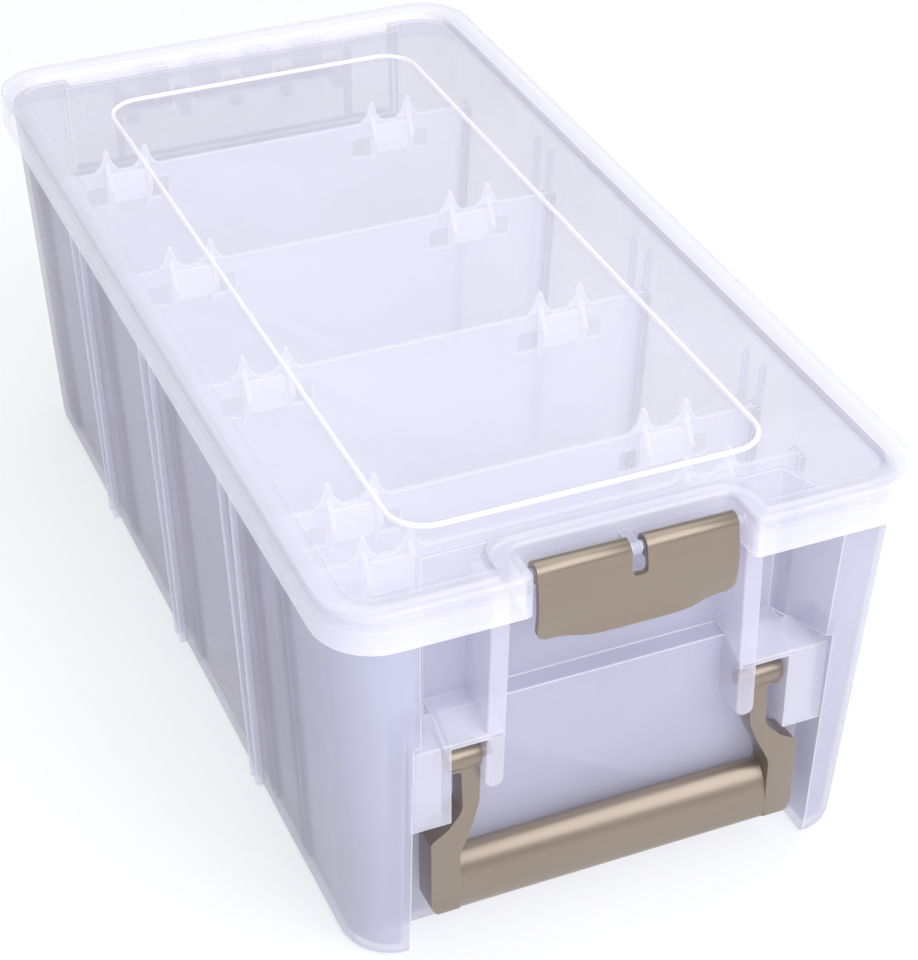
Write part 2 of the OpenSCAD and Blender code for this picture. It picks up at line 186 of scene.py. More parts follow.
def clear_marks(thing: bpy.types.Object) -> None:
    """Unmarks every vertex, edge and face of a mesh."""
    mesh = thing.data
    for group in (mesh.polygons, mesh.edges, mesh.vertices):
        group.foreach_set("select", [False] * len(group))


def apply_modifier(thing: bpy.types.Object, kind: str, **settings: object) -> None:
    """Adds a modifier and applies it.

    Args:
        thing: The object.
        kind: Blender's type of the modifier.
        settings: Values of the modifier's properties.
    """
    make_active(thing)
    modifier = thing.modifiers.new(kind.title(), kind)
    for name, value in settings.items():
        setattr(modifier, name, value)
    bpy.ops.object.modifier_apply(modifier=modifier.name)


def cut(thing: bpy.types.Object, *cutters: bpy.types.Object) -> bpy.types.Object:
    """Takes cutters out of an object and removes them."""
    for cutter in cutters:
        apply_modifier(thing, "BOOLEAN", operation="DIFFERENCE", solver="EXACT", object=cutter)
        bpy.data.objects.remove(cutter, do_unlink=True)
    return thing


def fuse(thing: bpy.types.Object, *others: bpy.types.Object) -> bpy.types.Object:
    """Unites others with an object and removes them."""
    for other in others:
        apply_modifier(thing, "BOOLEAN", operation="UNION", solver="EXACT", object=other)
        bpy.data.objects.remove(other, do_unlink=True)
    return thing


def gather(name: str, parts: Sequence[bpy.types.Object]) -> bpy.types.Object:
    """Joins separate solids in one object.

    Args:
        name: Name of the object.
        parts: The solids; the first keeps its object.

    Returns:
        The joined object.
    """
    make_active(parts[0])
    for part in parts[1:]:
        part.select_set(True)
    if len(parts) > 1:
        bpy.ops.object.join()
    parts[0].name = name
    return parts[0]


def mirrored(thing: bpy.types.Object) -> bpy.types.Object:
    """Adds the mirror image of an object across the middle plane to its mesh."""
    apply_modifier(thing, "MIRROR", use_axis=(True, False, False), use_mirror_merge=False)
    edit(thing, face_outwards)
    return thing


def round_edges(
    thing: bpy.types.Object, width: float = MOULDED, segments: int = 2, angle: float = 40.0
) -> bpy.types.Object:
    """Bevels every edge sharper than an angle.

    Args:
        thing: The object.
        width: Width of the bevel in millimetres.
        segments: Number of its segments.
        angle: Least angle in degrees.

    Returns:
        The same object.
    """
    edit(thing, select_all, lambda: bpy.ops.mesh.remove_doubles(threshold=0.02 * MM))
    apply_modifier(
        thing,
        "BEVEL",
        width=width * MM,
        segments=segments,
        limit_method="ANGLE",
        angle_limit=math.radians(angle),
        use_clamp_overlap=True,
        miter_outer="MITER_ARC",
    )
    return thing


def smooth(thing: bpy.types.Object, angle: float = 32.0) -> bpy.types.Object:
    """Shades an object smooth where faces meet at less than an angle in degrees."""
    make_active(thing)
    bpy.ops.object.shade_smooth_by_angle(angle=math.radians(angle))
    return thing


def rounded_path(corners: Sequence[Corner]) -> list[Flat]:
    """Works out an outline with round corners.

    Args:
        corners: Its corners in order.

    Returns:
        Points of the outline, with an arc at each rounded corner.
    """
    path: list[Flat] = []
    count = len(corners)
    for i, corner in enumerate(corners):
        here = Vector((corner.u, corner.v))
        if corner.radius <= 0.0:
            path.append((here.x, here.y))
            continue
        before = Vector((corners[i - 1].u, corners[i - 1].v)) - here
        after = Vector((corners[(i + 1) % count].u, corners[(i + 1) % count].v)) - here
        half = before.angle(after) / 2
        reach = corner.radius / math.tan(half)
        between = (before.normalized() + after.normalized()).normalized()
        centre = here + between * corner.radius / math.sin(half)
        start = here + before.normalized() * reach - centre
        turn = (here + after.normalized() * reach - centre).angle_signed(start)
        for step in range(corner.steps + 1):
            share = turn * step / corner.steps
            x = start.x * math.cos(share) - start.y * math.sin(share)
            y = start.x * math.sin(share) + start.y * math.cos(share)
            path.append((centre.x + x, centre.y + y))
    return path


def rectangle(width: float, length: float, radius: float, steps: int = 8) -> list[Flat]:
    """Returns the outline of a rectangle with round corners, centred on the origin."""
    u, v = width / 2, length / 2
    signs = ((-1, -1), (1, -1), (1, 1), (-1, 1))
    return rounded_path([Corner(side * u, end * v, radius, steps) for side, end in signs])


def level(outline: Sequence[Flat], height: float) -> list[Point]:
    """Returns an outline laid flat at a height."""
    return [(u, v, height) for u, v in outline]


def strip(root: float, crest: float, low: float, high: float, height: float) -> list[Point]:
    """Returns a level rectangle from a root to a crest along X."""
    return [(root, low, height), (crest, low, height), (crest, high, height), (root, high, height)]


def loft(name: str, rings: Sequence[Sequence[Point]]) -> bpy.types.Object:
    """Models a closed solid through rings of points, each extruded from the last.

    Args:
        name: Name of the object.
        rings: Rings of as many points each, in millimetres.

    Returns:
        The new object, closed at both ends.
    """
    deselect_all()
    bpy.ops.mesh.primitive_circle_add(vertices=len(rings[0]), radius=1.0, fill_type="NGON")
    thing = bpy.context.object
    thing.name = name
    mesh = thing.data
    for vertex, point in zip(mesh.vertices, rings[0]):
        vertex.co = Vector(point) * MM
    previous = {vertex.index: i for i, vertex in enumerate(mesh.vertices)}
    for ring in rings[1:]:
        edit(thing, bpy.ops.mesh.extrude_region_move)
        links = {}
        for edge in mesh.edges:
            a, b = edge.vertices
            if a in previous and mesh.vertices[b].select and b not in previous:
                links[b] = previous[a]
            if b in previous and mesh.vertices[a].select and a not in previous:
                links[a] = previous[b]
        for index, position in links.items():
            mesh.vertices[index].co = Vector(ring[position]) * MM
        previous = links
    edit(thing, face_outwards)
    return thing


def hoop(name: str, rings: Sequence[Sequence[Point]]) -> bpy.types.Object:
    """Models a closed band through rings of points that returns to the first ring.

    Args:
        name: Name of the object.
        rings: Rings of as many points each, in millimetres.

    Returns:
        The new object, with no caps.
    """
    thing = loft(name, [*rings, rings[0]])
    clear_marks(thing)
    for face in thing.data.polygons:
        face.select = len(face.vertices) > 4
    edit(
        thing,
        lambda: bpy.ops.mesh.delete(type="ONLY_FACE"),
        select_all,
        lambda: bpy.ops.mesh.remove_doubles(threshold=0.01 * MM),
        face_outwards,
    )
    return thing


def prism(name: str, outline: Sequence[Flat], plane: Plane, low: float, high: float) -> bpy.types.Object:
    """Models a solid by extruding an outline.

    Args:
        name: Name of the object.
        outline: Points of the outline.
        plane: Plane that it is drawn in.
        low: Start along the plane's axis.
        high: End along the plane's axis.

    Returns:
        The new object.
    """
    return loft(name, [[plane.place(flat, along) for flat in outline] for along in (low, high)])


def bar(
    name: str, radius: float, low: float, high: float, centre: Flat, vertices: int = 32
) -> bpy.types.Object:
    """Models a round bar along X.

    Args:
        name: Name of the object.
        radius: Its radius.
        low: Lower end along X.
        high: Upper end along X.
        centre: Place of its axis in Y and Z.
        vertices: Sides of its section.

    Returns:
        The new object.
    """
    turns = [2 * math.pi * i / vertices for i in range(vertices)]
    outline = [(centre[0] + radius * math.cos(t), centre[1] + radius * math.sin(t)) for t in turns]
    return prism(name, outline, Plane.YZ, low, high)


# ----------------------------------------------------------------- finishes


class Wire:
    """Short calls that add and link the nodes of one tree."""

    def __init__(self, tree: bpy.types.NodeTree) -> None:
        """Keeps the tree."""
        self.tree = tree

    def add(self, kind: str, **settings: object) -> bpy.types.Node:
        """Adds a node.

        Args:
            kind: Blender's name of the node, without its ShaderNode prefix.
            settings: Properties, or inputs given by name with spaces as underscores.

        Returns:
            The new node.
        """
        node = self.tree.nodes.new(f"ShaderNode{kind}")
        for name, value in settings.items():
            if hasattr(node, name):
                setattr(node, name, value)
            else:
                node.inputs[name.replace("_", " ")].default_value = value
        return node

    def link(self, source: bpy.types.NodeSocket, target: bpy.types.NodeSocket) -> None:
        """Links two sockets."""
        self.tree.links.new(source, target)

    def math(self, operation: str, a: object, b: object, clamp: bool = False) -> bpy.types.NodeSocket:
        """Adds a Math node.

        Args:
            operation: Its operation.
            a: First value or socket.
            b: Second value or socket.
            clamp: Whether the result stays between 0 and 1.

        Returns:
            Its output.
        """
        node = self.add("Math", operation=operation, use_clamp=clamp)
        for socket, value in zip(node.inputs, (a, b)):
            if isinstance(value, bpy.types.NodeSocket):
                self.link(value, socket)
            else:
                socket.default_value = value
        return node.outputs[0]

    def span(
        self, value: bpy.types.NodeSocket, low: float, high: float, to_low: float, to_high: float
    ) -> bpy.types.NodeSocket:
        """Maps a value from one span to another, and keeps it there.

        Args:
            value: The value's socket.
            low: Start of the span that it comes from.
            high: End of that span.
            to_low: Start of the span that it goes to.
            to_high: End of that span.

        Returns:
            Socket of the mapped value.
        """
        node = self.add("MapRange", clamp=True)
        numbers = {"From Min": low, "From Max": high, "To Min": to_low, "To Max": to_high}
        for name, number in numbers.items():
            node.inputs[name].default_value = number
        self.link(value, node.inputs["Value"])
        return node.outputs["Result"]

    def mix(self, factor: bpy.types.NodeSocket, a: object, b: object) -> bpy.types.NodeSocket:
        """Mixes two colours or colour sockets.

        Args:
            factor: Socket of the second colour's share.
            a: First colour or socket.
            b: Second colour or socket.

        Returns:
            Socket of the mixed colour.
        """
        node = self.add("Mix", data_type="RGBA")
        self.link(factor, node.inputs[0])
        for socket, value in ((node.inputs[6], a), (node.inputs[7], b)):
            if isinstance(value, bpy.types.NodeSocket):
                self.link(value, socket)
            else:
                socket.default_value = value
        return node.outputs[2]


def new_group(
    name: str, numbers: dict[str, float], outputs: dict[str, str]
) -> tuple[Wire, bpy.types.Node, bpy.types.Node]:
    """Starts a shader node group.

    Args:
        name: Name of the group.
        numbers: Its float inputs and their values.
        outputs: Its outputs and their socket types.

    Returns:
        A wire for its tree, its input node and its output node.
    """
    tree = bpy.data.node_groups.new(name, "ShaderNodeTree")
    for label, value in numbers.items():
        socket = tree.interface.new_socket(name=label, in_out="INPUT", socket_type="NodeSocketFloat")
        socket.default_value = value
    for label, kind in outputs.items():
        tree.interface.new_socket(name=label, in_out="OUTPUT", socket_type=kind)
    wire = Wire(tree)
    return wire, tree.nodes.new("NodeGroupInput"), tree.nodes.new("NodeGroupOutput")


def edge_light_group() -> bpy.types.NodeTree:
    """Builds the group that finds edges, where the plastic gets its painted highlight and glow and the
    paint a lighter tone.

    Returns:
        A group with a mask of the edges.
    """
    wire, inputs, outputs = new_group(
        "edge_light", {"Radius": 0.001, "Gain": 4.0}, {"Mask": "NodeSocketFloat"}
    )
    rounded = wire.add("Bevel", samples=4)
    wire.link(inputs.outputs["Radius"], rounded.inputs["Radius"])
    plain = wire.add("NewGeometry")
    dot = wire.add("VectorMath", operation="DOT_PRODUCT")
    wire.link(rounded.outputs["Normal"], dot.inputs[0])
    wire.link(plain.outputs["Normal"], dot.inputs[1])
    away = wire.math("SUBTRACT", 1.0, dot.outputs["Value"], clamp=True)
    wire.link(wire.math("MULTIPLY", away, inputs.outputs["Gain"], clamp=True), outputs.inputs["Mask"])
    return wire.tree


def haze_group() -> bpy.types.NodeTree:
    """Builds the group that clouds a surface with soft patches and fine specks.

    Returns:
        A group with a haze from 0 to 1 and a height for a bump.
    """
    wire, inputs, outputs = new_group(
        "haze",
        {"Scale": 20.0, "Fine Scale": 900.0},
        {"Haze": "NodeSocketFloat", "Height": "NodeSocketFloat"},
    )
    where = wire.add("TexCoord")
    soft = wire.add("TexNoise", Detail=3.0, Roughness=0.5)
    fine = wire.add("TexNoise", Detail=2.0, Roughness=0.6)
    for node, scale in ((soft, "Scale"), (fine, "Fine Scale")):
        wire.link(where.outputs["Object"], node.inputs["Vector"])
        wire.link(inputs.outputs[scale], node.inputs["Scale"])
    wire.link(wire.span(soft.outputs["Fac"], 0.3, 0.7, 0.0, 1.0), outputs.inputs["Haze"])
    wire.link(fine.outputs["Fac"], outputs.inputs["Height"])
    return wire.tree


def brushed_group() -> bpy.types.NodeTree:
    """Builds the group that draws fine streaks along X, as in sprayed metallic paint.

    Returns:
        A group with streaks from 0 to 1 and metallic flakes from 0 to 1.
    """
    wire, inputs, outputs = new_group(
        "brushed",
        {"Streak Scale": 700.0, "Flake Scale": 5000.0},
        {"Streaks": "NodeSocketFloat", "Flakes": "NodeSocketFloat"},
    )
    where = wire.add("TexCoord")
    stretch = wire.add("Mapping")
    stretch.inputs["Scale"].default_value = (0.02, 1.0, 1.0)
    wire.link(where.outputs["Object"], stretch.inputs["Vector"])
    streaks = wire.add("TexNoise", Detail=2.0, Roughness=0.6)
    wire.link(stretch.outputs["Vector"], streaks.inputs["Vector"])
    wire.link(inputs.outputs["Streak Scale"], streaks.inputs["Scale"])
    flakes = wire.add("TexNoise", Detail=1.0, Roughness=0.5)
    wire.link(where.outputs["Object"], flakes.inputs["Vector"])
    wire.link(inputs.outputs["Flake Scale"], flakes.inputs["Scale"])
    wire.link(wire.span(streaks.outputs["Fac"], 0.3, 0.7, 0.0, 1.0), outputs.inputs["Streaks"])
    wire.link(wire.span(flakes.outputs["Fac"], 0.35, 0.65, 0.0, 1.0), outputs.inputs["Flakes"])
    return wire.tree


@dataclass(frozen=True)
class Groups:
    """Node groups that the materials share."""

    edge_light: bpy.types.NodeTree
    haze: bpy.types.NodeTree
    brushed: bpy.types.NodeTree

    @classmethod
    def build(cls) -> "Groups":
        """Builds every group once."""
        return cls(edge_light_group(), haze_group(), brushed_group())


def start_material(name: str) -> tuple[bpy.types.Material, Wire, bpy.types.Node]:
    """Starts a material with one Principled shader.

    Args:
        name: Name of the material.

    Returns:
        The material, a wire for its tree and its shader.
    """
    material = bpy.data.materials.new(name)
    material.use_nodes = True
    wire = Wire(material.node_tree)
    return material, wire, material.node_tree.nodes["Principled BSDF"]


def use_group(wire: Wire, tree: bpy.types.NodeTree, **values: float) -> bpy.types.Node:
    """Places a group in a material.

    Args:
        wire: Wire of the material's tree.
        tree: The group.
        values: Its inputs by name, with underscores for spaces.

    Returns:
        The group's node.
    """
    node = wire.tree.nodes.new("ShaderNodeGroup")
    node.node_tree = tree
    for name, value in values.items():
        node.inputs[name.replace("_", " ")].default_value = value
    return node


@dataclass(frozen=True)
class MilkyPlastic:
    """Translucent moulded plastic: milky faces and denser edges, with a painted glow and painted highlights
    along the edges.
    """

    name: str
    colour: Colour
    cloud_colour: Colour
    alpha: float
    alpha_spread: float
    edge_alpha: float
    roughness: float
    coat: float
    clear_band: tuple[float, float, float] | None = None
    clear_ramp: float = 0.6
    # glow, high_glow and edge_glow are painted light: emission standing in for light scattered in the
    # plastic
    glow: float = 0.03
    glow_ceiling: float = 500.0
    glow_ramp: float = 0.4
    high_glow: float = 0.03
    # painted light: colour of the front end, lightened as if lit from the front
    front_lit_colour: Colour | None = None
    front_lit_reach: Flat = (-188.0, -125.0)
    # edges whitened partly for the denser plastic and partly as a painted highlight
    dense_and_lit_edge_colour: Colour = (0.95, 0.95, 0.99)
    edge_light: Colour = (0.96, 0.96, 1.0)
    edge_glow: float = 0.16
    edge_radius: float = 0.9
    edge_gain: float = 6.0
    cloud_scale: float = 14.0
    speck_scale: float = 1400.0
    bump: float = 0.05
    bump_depth: float = 0.1
    roughness_spread: float = 0.15
    coat_roughness: float = 0.12

    def build(self, groups: Groups) -> bpy.types.Material:
        """Builds the material.

        Args:
            groups: The shared node groups.

        Returns:
            The new material.
        """
        material, wire, shader = start_material(self.name)
        haze = use_group(wire, groups.haze, Scale=self.cloud_scale, Fine_Scale=self.speck_scale)
        edges = use_group(wire, groups.edge_light, Radius=self.edge_radius * MM, Gain=self.edge_gain)
        cloud, mask = haze.outputs["Haze"], edges.outputs["Mask"]
        self.tint(wire, shader, cloud, mask)
        self.thin(wire, shader, cloud, mask)
        self.light(wire, shader, mask)
        less = self.roughness * (1 - self.roughness_spread)
        more = self.roughness * (1 + self.roughness_spread)
        wire.link(wire.span(cloud, 0.0, 1.0, less, more), shader.inputs["Roughness"])
        bump = wire.add("Bump", Strength=self.bump, Distance=self.bump_depth * MM)
        wire.link(haze.outputs["Height"], bump.inputs["Height"])
        wire.link(bump.outputs["Normal"], shader.inputs["Normal"])
        shader.inputs["Coat Weight"].default_value = self.coat
        shader.inputs["Coat Roughness"].default_value = self.coat_roughness
        return material

    def tint(
        self, wire: Wire, shader: bpy.types.Node, cloud: bpy.types.NodeSocket, mask: bpy.types.NodeSocket
    ) -> None:
        """Colours the faces, lightens the front end as painted light from the front, and whitens the edges,
        partly for the denser plastic and partly as a painted highlight.

        Args:
            wire: Wire of the material's tree.
            shader: The material's shader.
            cloud: Socket of the haze.
            mask: Socket of the edges' mask.
        """
        body = wire.mix(cloud, (*self.colour, 1.0), (*self.cloud_colour, 1.0))
        # painted light: the front end fades to a lighter colour, as if lit from the front
        if self.front_lit_colour:
            near, far = (reach * MM for reach in self.front_lit_reach)
            share = wire.span(self.place(wire, "Y"), near, far, 1.0, 0.0)
            body = wire.mix(share, body, (*self.front_lit_colour, 1.0))
        # edges whitened partly for the denser plastic and partly as a painted highlight
        wire.link(wire.mix(mask, body, (*self.dense_and_lit_edge_colour, 1.0)), shader.inputs["Base Color"])

    def thin(
        self, wire: Wire, shader: bpy.types.Node, cloud: bpy.types.NodeSocket, mask: bpy.types.NodeSocket
    ) -> None:
        """Sets how much the plastic hides.

        Args:
            wire: Wire of the material's tree.
            shader: The material's shader.
            cloud: Socket of the haze.
            mask: Socket of the edges' mask.
        """
        low, high = self.alpha - self.alpha_spread, self.alpha + self.alpha_spread
        cloudy = wire.span(cloud, 0.0, 1.0, low, high)
        if self.clear_band:
            cloudy = wire.math("SUBTRACT", cloudy, self.band(wire), clamp=True)
        lift = wire.math("MULTIPLY", mask, self.edge_alpha)
        wire.link(wire.math("ADD", cloudy, lift, clamp=True), shader.inputs["Alpha"])

    def light(self, wire: Wire, shader: bpy.types.Node, mask: bpy.types.NodeSocket) -> None:
        """Paints a faint glow into the emission: painted light that stands in for light scattered in the
        milky plastic, weaker above a height and stronger along the edges.

        Args:
            wire: Wire of the material's tree.
            shader: The material's shader.
            mask: Socket of the edges' mask.
        """
        low_lit = [*(self.glow * part for part in self.colour), 1.0]
        high_lit = [*(self.high_glow * part for part in self.colour), 1.0]
        bright = [*(self.edge_glow * part for part in self.edge_light), 1.0]
        ceiling = self.glow_ceiling * MM
        height = self.place(wire, "Z")
        above = wire.span(height, ceiling, ceiling + self.glow_ramp * MM, 0.0, 1.0)
        lit = wire.mix(above, low_lit, high_lit)
        wire.link(wire.mix(mask, lit, bright), shader.inputs["Emission Color"])
        shader.inputs["Emission Strength"].default_value = 1.0

    def place(self, wire: Wire, axis: str) -> bpy.types.NodeSocket:
        """Returns the place along an axis in metres."""
        split = wire.add("SeparateXYZ")
        wire.link(wire.add("TexCoord").outputs["Object"], split.inputs[0])
        return split.outputs[axis]

    def band(self, wire: Wire) -> bpy.types.NodeSocket:
        """Works out how much clearer the plastic is between two heights.

        Args:
            wire: Wire of the material's tree.

        Returns:
            What is taken off the alpha.
        """
        low, high, less = self.clear_band
        height = self.place(wire, "Z")
        above = wire.span(height, (low - self.clear_ramp) * MM, low * MM, 0.0, 1.0)
        below = wire.span(height, high * MM, (high + self.clear_ramp) * MM, 1.0, 0.0)
        return wire.math("MULTIPLY", wire.math("MULTIPLY", above, below), less)


@dataclass(frozen=True)
class MetallicPaint:
    """Satin metallic paint with fine streaks and flakes, lighter along its edges."""

    name: str
    colour: Colour
    dark: Colour
    edge_tone: Colour
    metallic: float = 0.6
    metallic_spread: float = 0.06
    roughness: float = 0.34
    roughness_spans: Flat = (0.05, 0.06)
    streak_share: float = 0.25
    streak_height: float = 0.7
    edge_radius: float = 0.7
    edge_gain: float = 2.5
    edge_share: float = 0.5
    bump: float = 0.03
    bump_depth: float = 0.05
    coat: float = 0.8
    coat_roughness: float = 0.34

    def build(self, groups: Groups) -> bpy.types.Material:
        """Builds the material.

        Args:
            groups: The shared node groups.

        Returns:
            The new material.
        """
        material, wire, shader = start_material(self.name)
        brushed = use_group(wire, groups.brushed, Streak_Scale=900.0, Flake_Scale=6000.0)
        edges = use_group(wire, groups.edge_light, Radius=self.edge_radius * MM, Gain=self.edge_gain)
        haze = use_group(wire, groups.haze, Scale=45.0, Fine_Scale=1800.0)
        streaks = brushed.outputs["Streaks"]
        share = wire.math("MULTIPLY", streaks, self.streak_share)
        speckled = wire.mix(share, (*self.colour, 1.0), (*self.dark, 1.0))
        lightened_edges = wire.math("MULTIPLY", edges.outputs["Mask"], self.edge_share)
        wire.link(wire.mix(lightened_edges, speckled, (*self.edge_tone, 1.0)), shader.inputs["Base Color"])
        low, high = self.metallic - self.metallic_spread, self.metallic + self.metallic_spread
        wire.link(wire.span(haze.outputs["Haze"], 0.0, 1.0, low, high), shader.inputs["Metallic"])
        low, high = self.roughness - self.roughness_spans[0], self.roughness + self.roughness_spans[1]
        wire.link(wire.span(brushed.outputs["Flakes"], 0.0, 1.0, low, high), shader.inputs["Roughness"])
        ridges = wire.math("MULTIPLY", streaks, self.streak_height)
        height = wire.math("ADD", ridges, haze.outputs["Height"])
        bump = wire.add("Bump", Strength=self.bump, Distance=self.bump_depth * MM)
        wire.link(height, bump.inputs["Height"])
        wire.link(bump.outputs["Normal"], shader.inputs["Normal"])
        shader.inputs["Coat Weight"].default_value = self.coat
        shader.inputs["Coat Roughness"].default_value = self.coat_roughness
        return material


PLASTICS = {
    "tub": MilkyPlastic(
        name="frosted_tub",
        colour=(0.44, 0.42, 0.525),
        cloud_colour=(0.40, 0.38, 0.49),
        alpha=0.42,
        alpha_spread=0.05,
        edge_alpha=0.35,
        roughness=0.32,
        coat=0.2,
        # painted light on the tub's front end
        front_lit_colour=(0.60, 0.60, 0.765),
    ),
    "lid": MilkyPlastic(
        name="clear_lid",
        colour=(0.86, 0.86, 0.95),
        cloud_colour=(0.83, 0.83, 0.94),
        alpha=0.35,
        alpha_spread=0.03,
        edge_alpha=0.28,
        roughness=0.2,
        coat=0.4,
        clear_band=(145.6, 148.2, 0.08),
        glow=0.185,
        glow_ceiling=148.4,
        high_glow=0.05,
        edge_glow=0.04,
    ),
    # the lid's own plastic made whiter and glowing: painted light along the bead's ridge
    "bead": MilkyPlastic(
        name="painted_light_bead",
        colour=(0.95, 0.95, 1.0),
        cloud_colour=(0.93, 0.93, 0.99),
        alpha=0.46,
        alpha_spread=0.04,
        edge_alpha=0.2,
        roughness=0.2,
        coat=0.4,
        glow=0.14,
    ),
    "bracket": MilkyPlastic(
        name="thick_bracket",
        colour=(0.80, 0.79, 0.91),
        cloud_colour=(0.76, 0.75, 0.88),
        alpha=0.43,
        alpha_spread=0.05,
        edge_alpha=0.35,
        roughness=0.3,
        coat=0.25,
    ),
    "divider": MilkyPlastic(
        name="frosted_divider",
        colour=(0.84, 0.85, 0.95),
        cloud_colour=(0.80, 0.81, 0.93),
        alpha=0.38,
        alpha_spread=0.05,
        edge_alpha=0.4,
        roughness=0.34,
        coat=0.15,
        clear_band=(119.8, 129.0, -0.3),
        glow=0.12,
    ),
    # the divider's own plastic made whiter and glowing: painted light on the fins and pads
    "grips": MilkyPlastic(
        name="painted_light_grip",
        colour=(0.92, 0.92, 0.98),
        cloud_colour=(0.88, 0.88, 0.97),
        alpha=0.52,
        alpha_spread=0.06,
        edge_alpha=0.12,
        roughness=0.34,
        coat=0.15,
        glow=0.15,
        edge_glow=0.1,
    ),
    "hinge": MilkyPlastic(
        name="faint_hinge",
        colour=(0.74, 0.73, 0.84),
        cloud_colour=(0.70, 0.69, 0.81),
        alpha=0.2,
        alpha_spread=0.03,
        edge_alpha=0.2,
        roughness=0.3,
        coat=0.2,
        edge_glow=0.04,
    ),
}
CHAMPAGNE = MetallicPaint(
    name="champagne_paint",
    colour=(0.262, 0.212, 0.167),
    dark=(0.228, 0.184, 0.145),
    edge_tone=(0.42, 0.36, 0.30),
)


@dataclass(frozen=True)
class Finishes:
    """Every finish of the box."""

    tub: bpy.types.Material
    lid: bpy.types.Material
    bead: bpy.types.Material
    bracket: bpy.types.Material
    divider: bpy.types.Material
    grips: bpy.types.Material
    hinge: bpy.types.Material
    paint: bpy.types.Material

    @classmethod
    def build(cls) -> "Finishes":
        """Builds the node groups and the materials."""
        groups = Groups.build()
        plastics = {role: plastic.build(groups) for role, plastic in PLASTICS.items()}
        return cls(paint=CHAMPAGNE.build(groups), **plastics)


def dress(piece: bpy.types.Object, finish: bpy.types.Material, slot: Slot, body: Body, *nodes: str) -> None:
    """Gives a piece its finish and its body, and logs it.

    Args:
        piece: The piece.
        finish: Its material.
        slot: Its slot in the record; not used.
        body: Body that it rides on.
        nodes: Nodes that it stands for.
    """
    smooth(piece)
    piece.data.materials.clear()
    piece.data.materials.append(finish)
    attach(piece, body.value)
    if nodes:
        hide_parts(*nodes)
    LOG.info("%s: %d faces on %s", piece.name, len(piece.data.polygons), body.value)


# -------------------------------------------------------------------- frame


@dataclass(frozen=True)
class BoxFrame:
    """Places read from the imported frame, in millimetres."""

    lid: NodeBox
    tub: NodeBox
    latch: NodeBox
    handle: NodeBox
    latch_axis: Flat
    handle_axis: Flat
    hinge_axis: Flat

    @classmethod
    def read(cls, frame: dict) -> "BoxFrame":
        """Reads the frame.


        Returns:
            The boxes and axes that the pieces are built on.
        """
        axes = {}
        for joint in frame["joints"]:
            _, y, z = joint["pos_m"]
            axes[joint["name"]] = (y / MM, z / MM)
        boxes = [NodeBox.of(node) for node in ("lid", "tub", "latch", "handle")]
        return cls(*boxes, *(axes[joint] for joint in ("latch_pivot", "handle_pivot", "lid_hinge")))

    @property
    def front(self) -> float:
        """Front end of the lid."""
        return self.lid.low.y

    @property
    def back(self) -> float:
        """Back end of the lid."""
        return self.lid.high.y

    @property
    def top(self) -> float:
        """Top of the lid's rim."""
        return self.lid.high.z


# ---------------------------------------------------------------------- lid


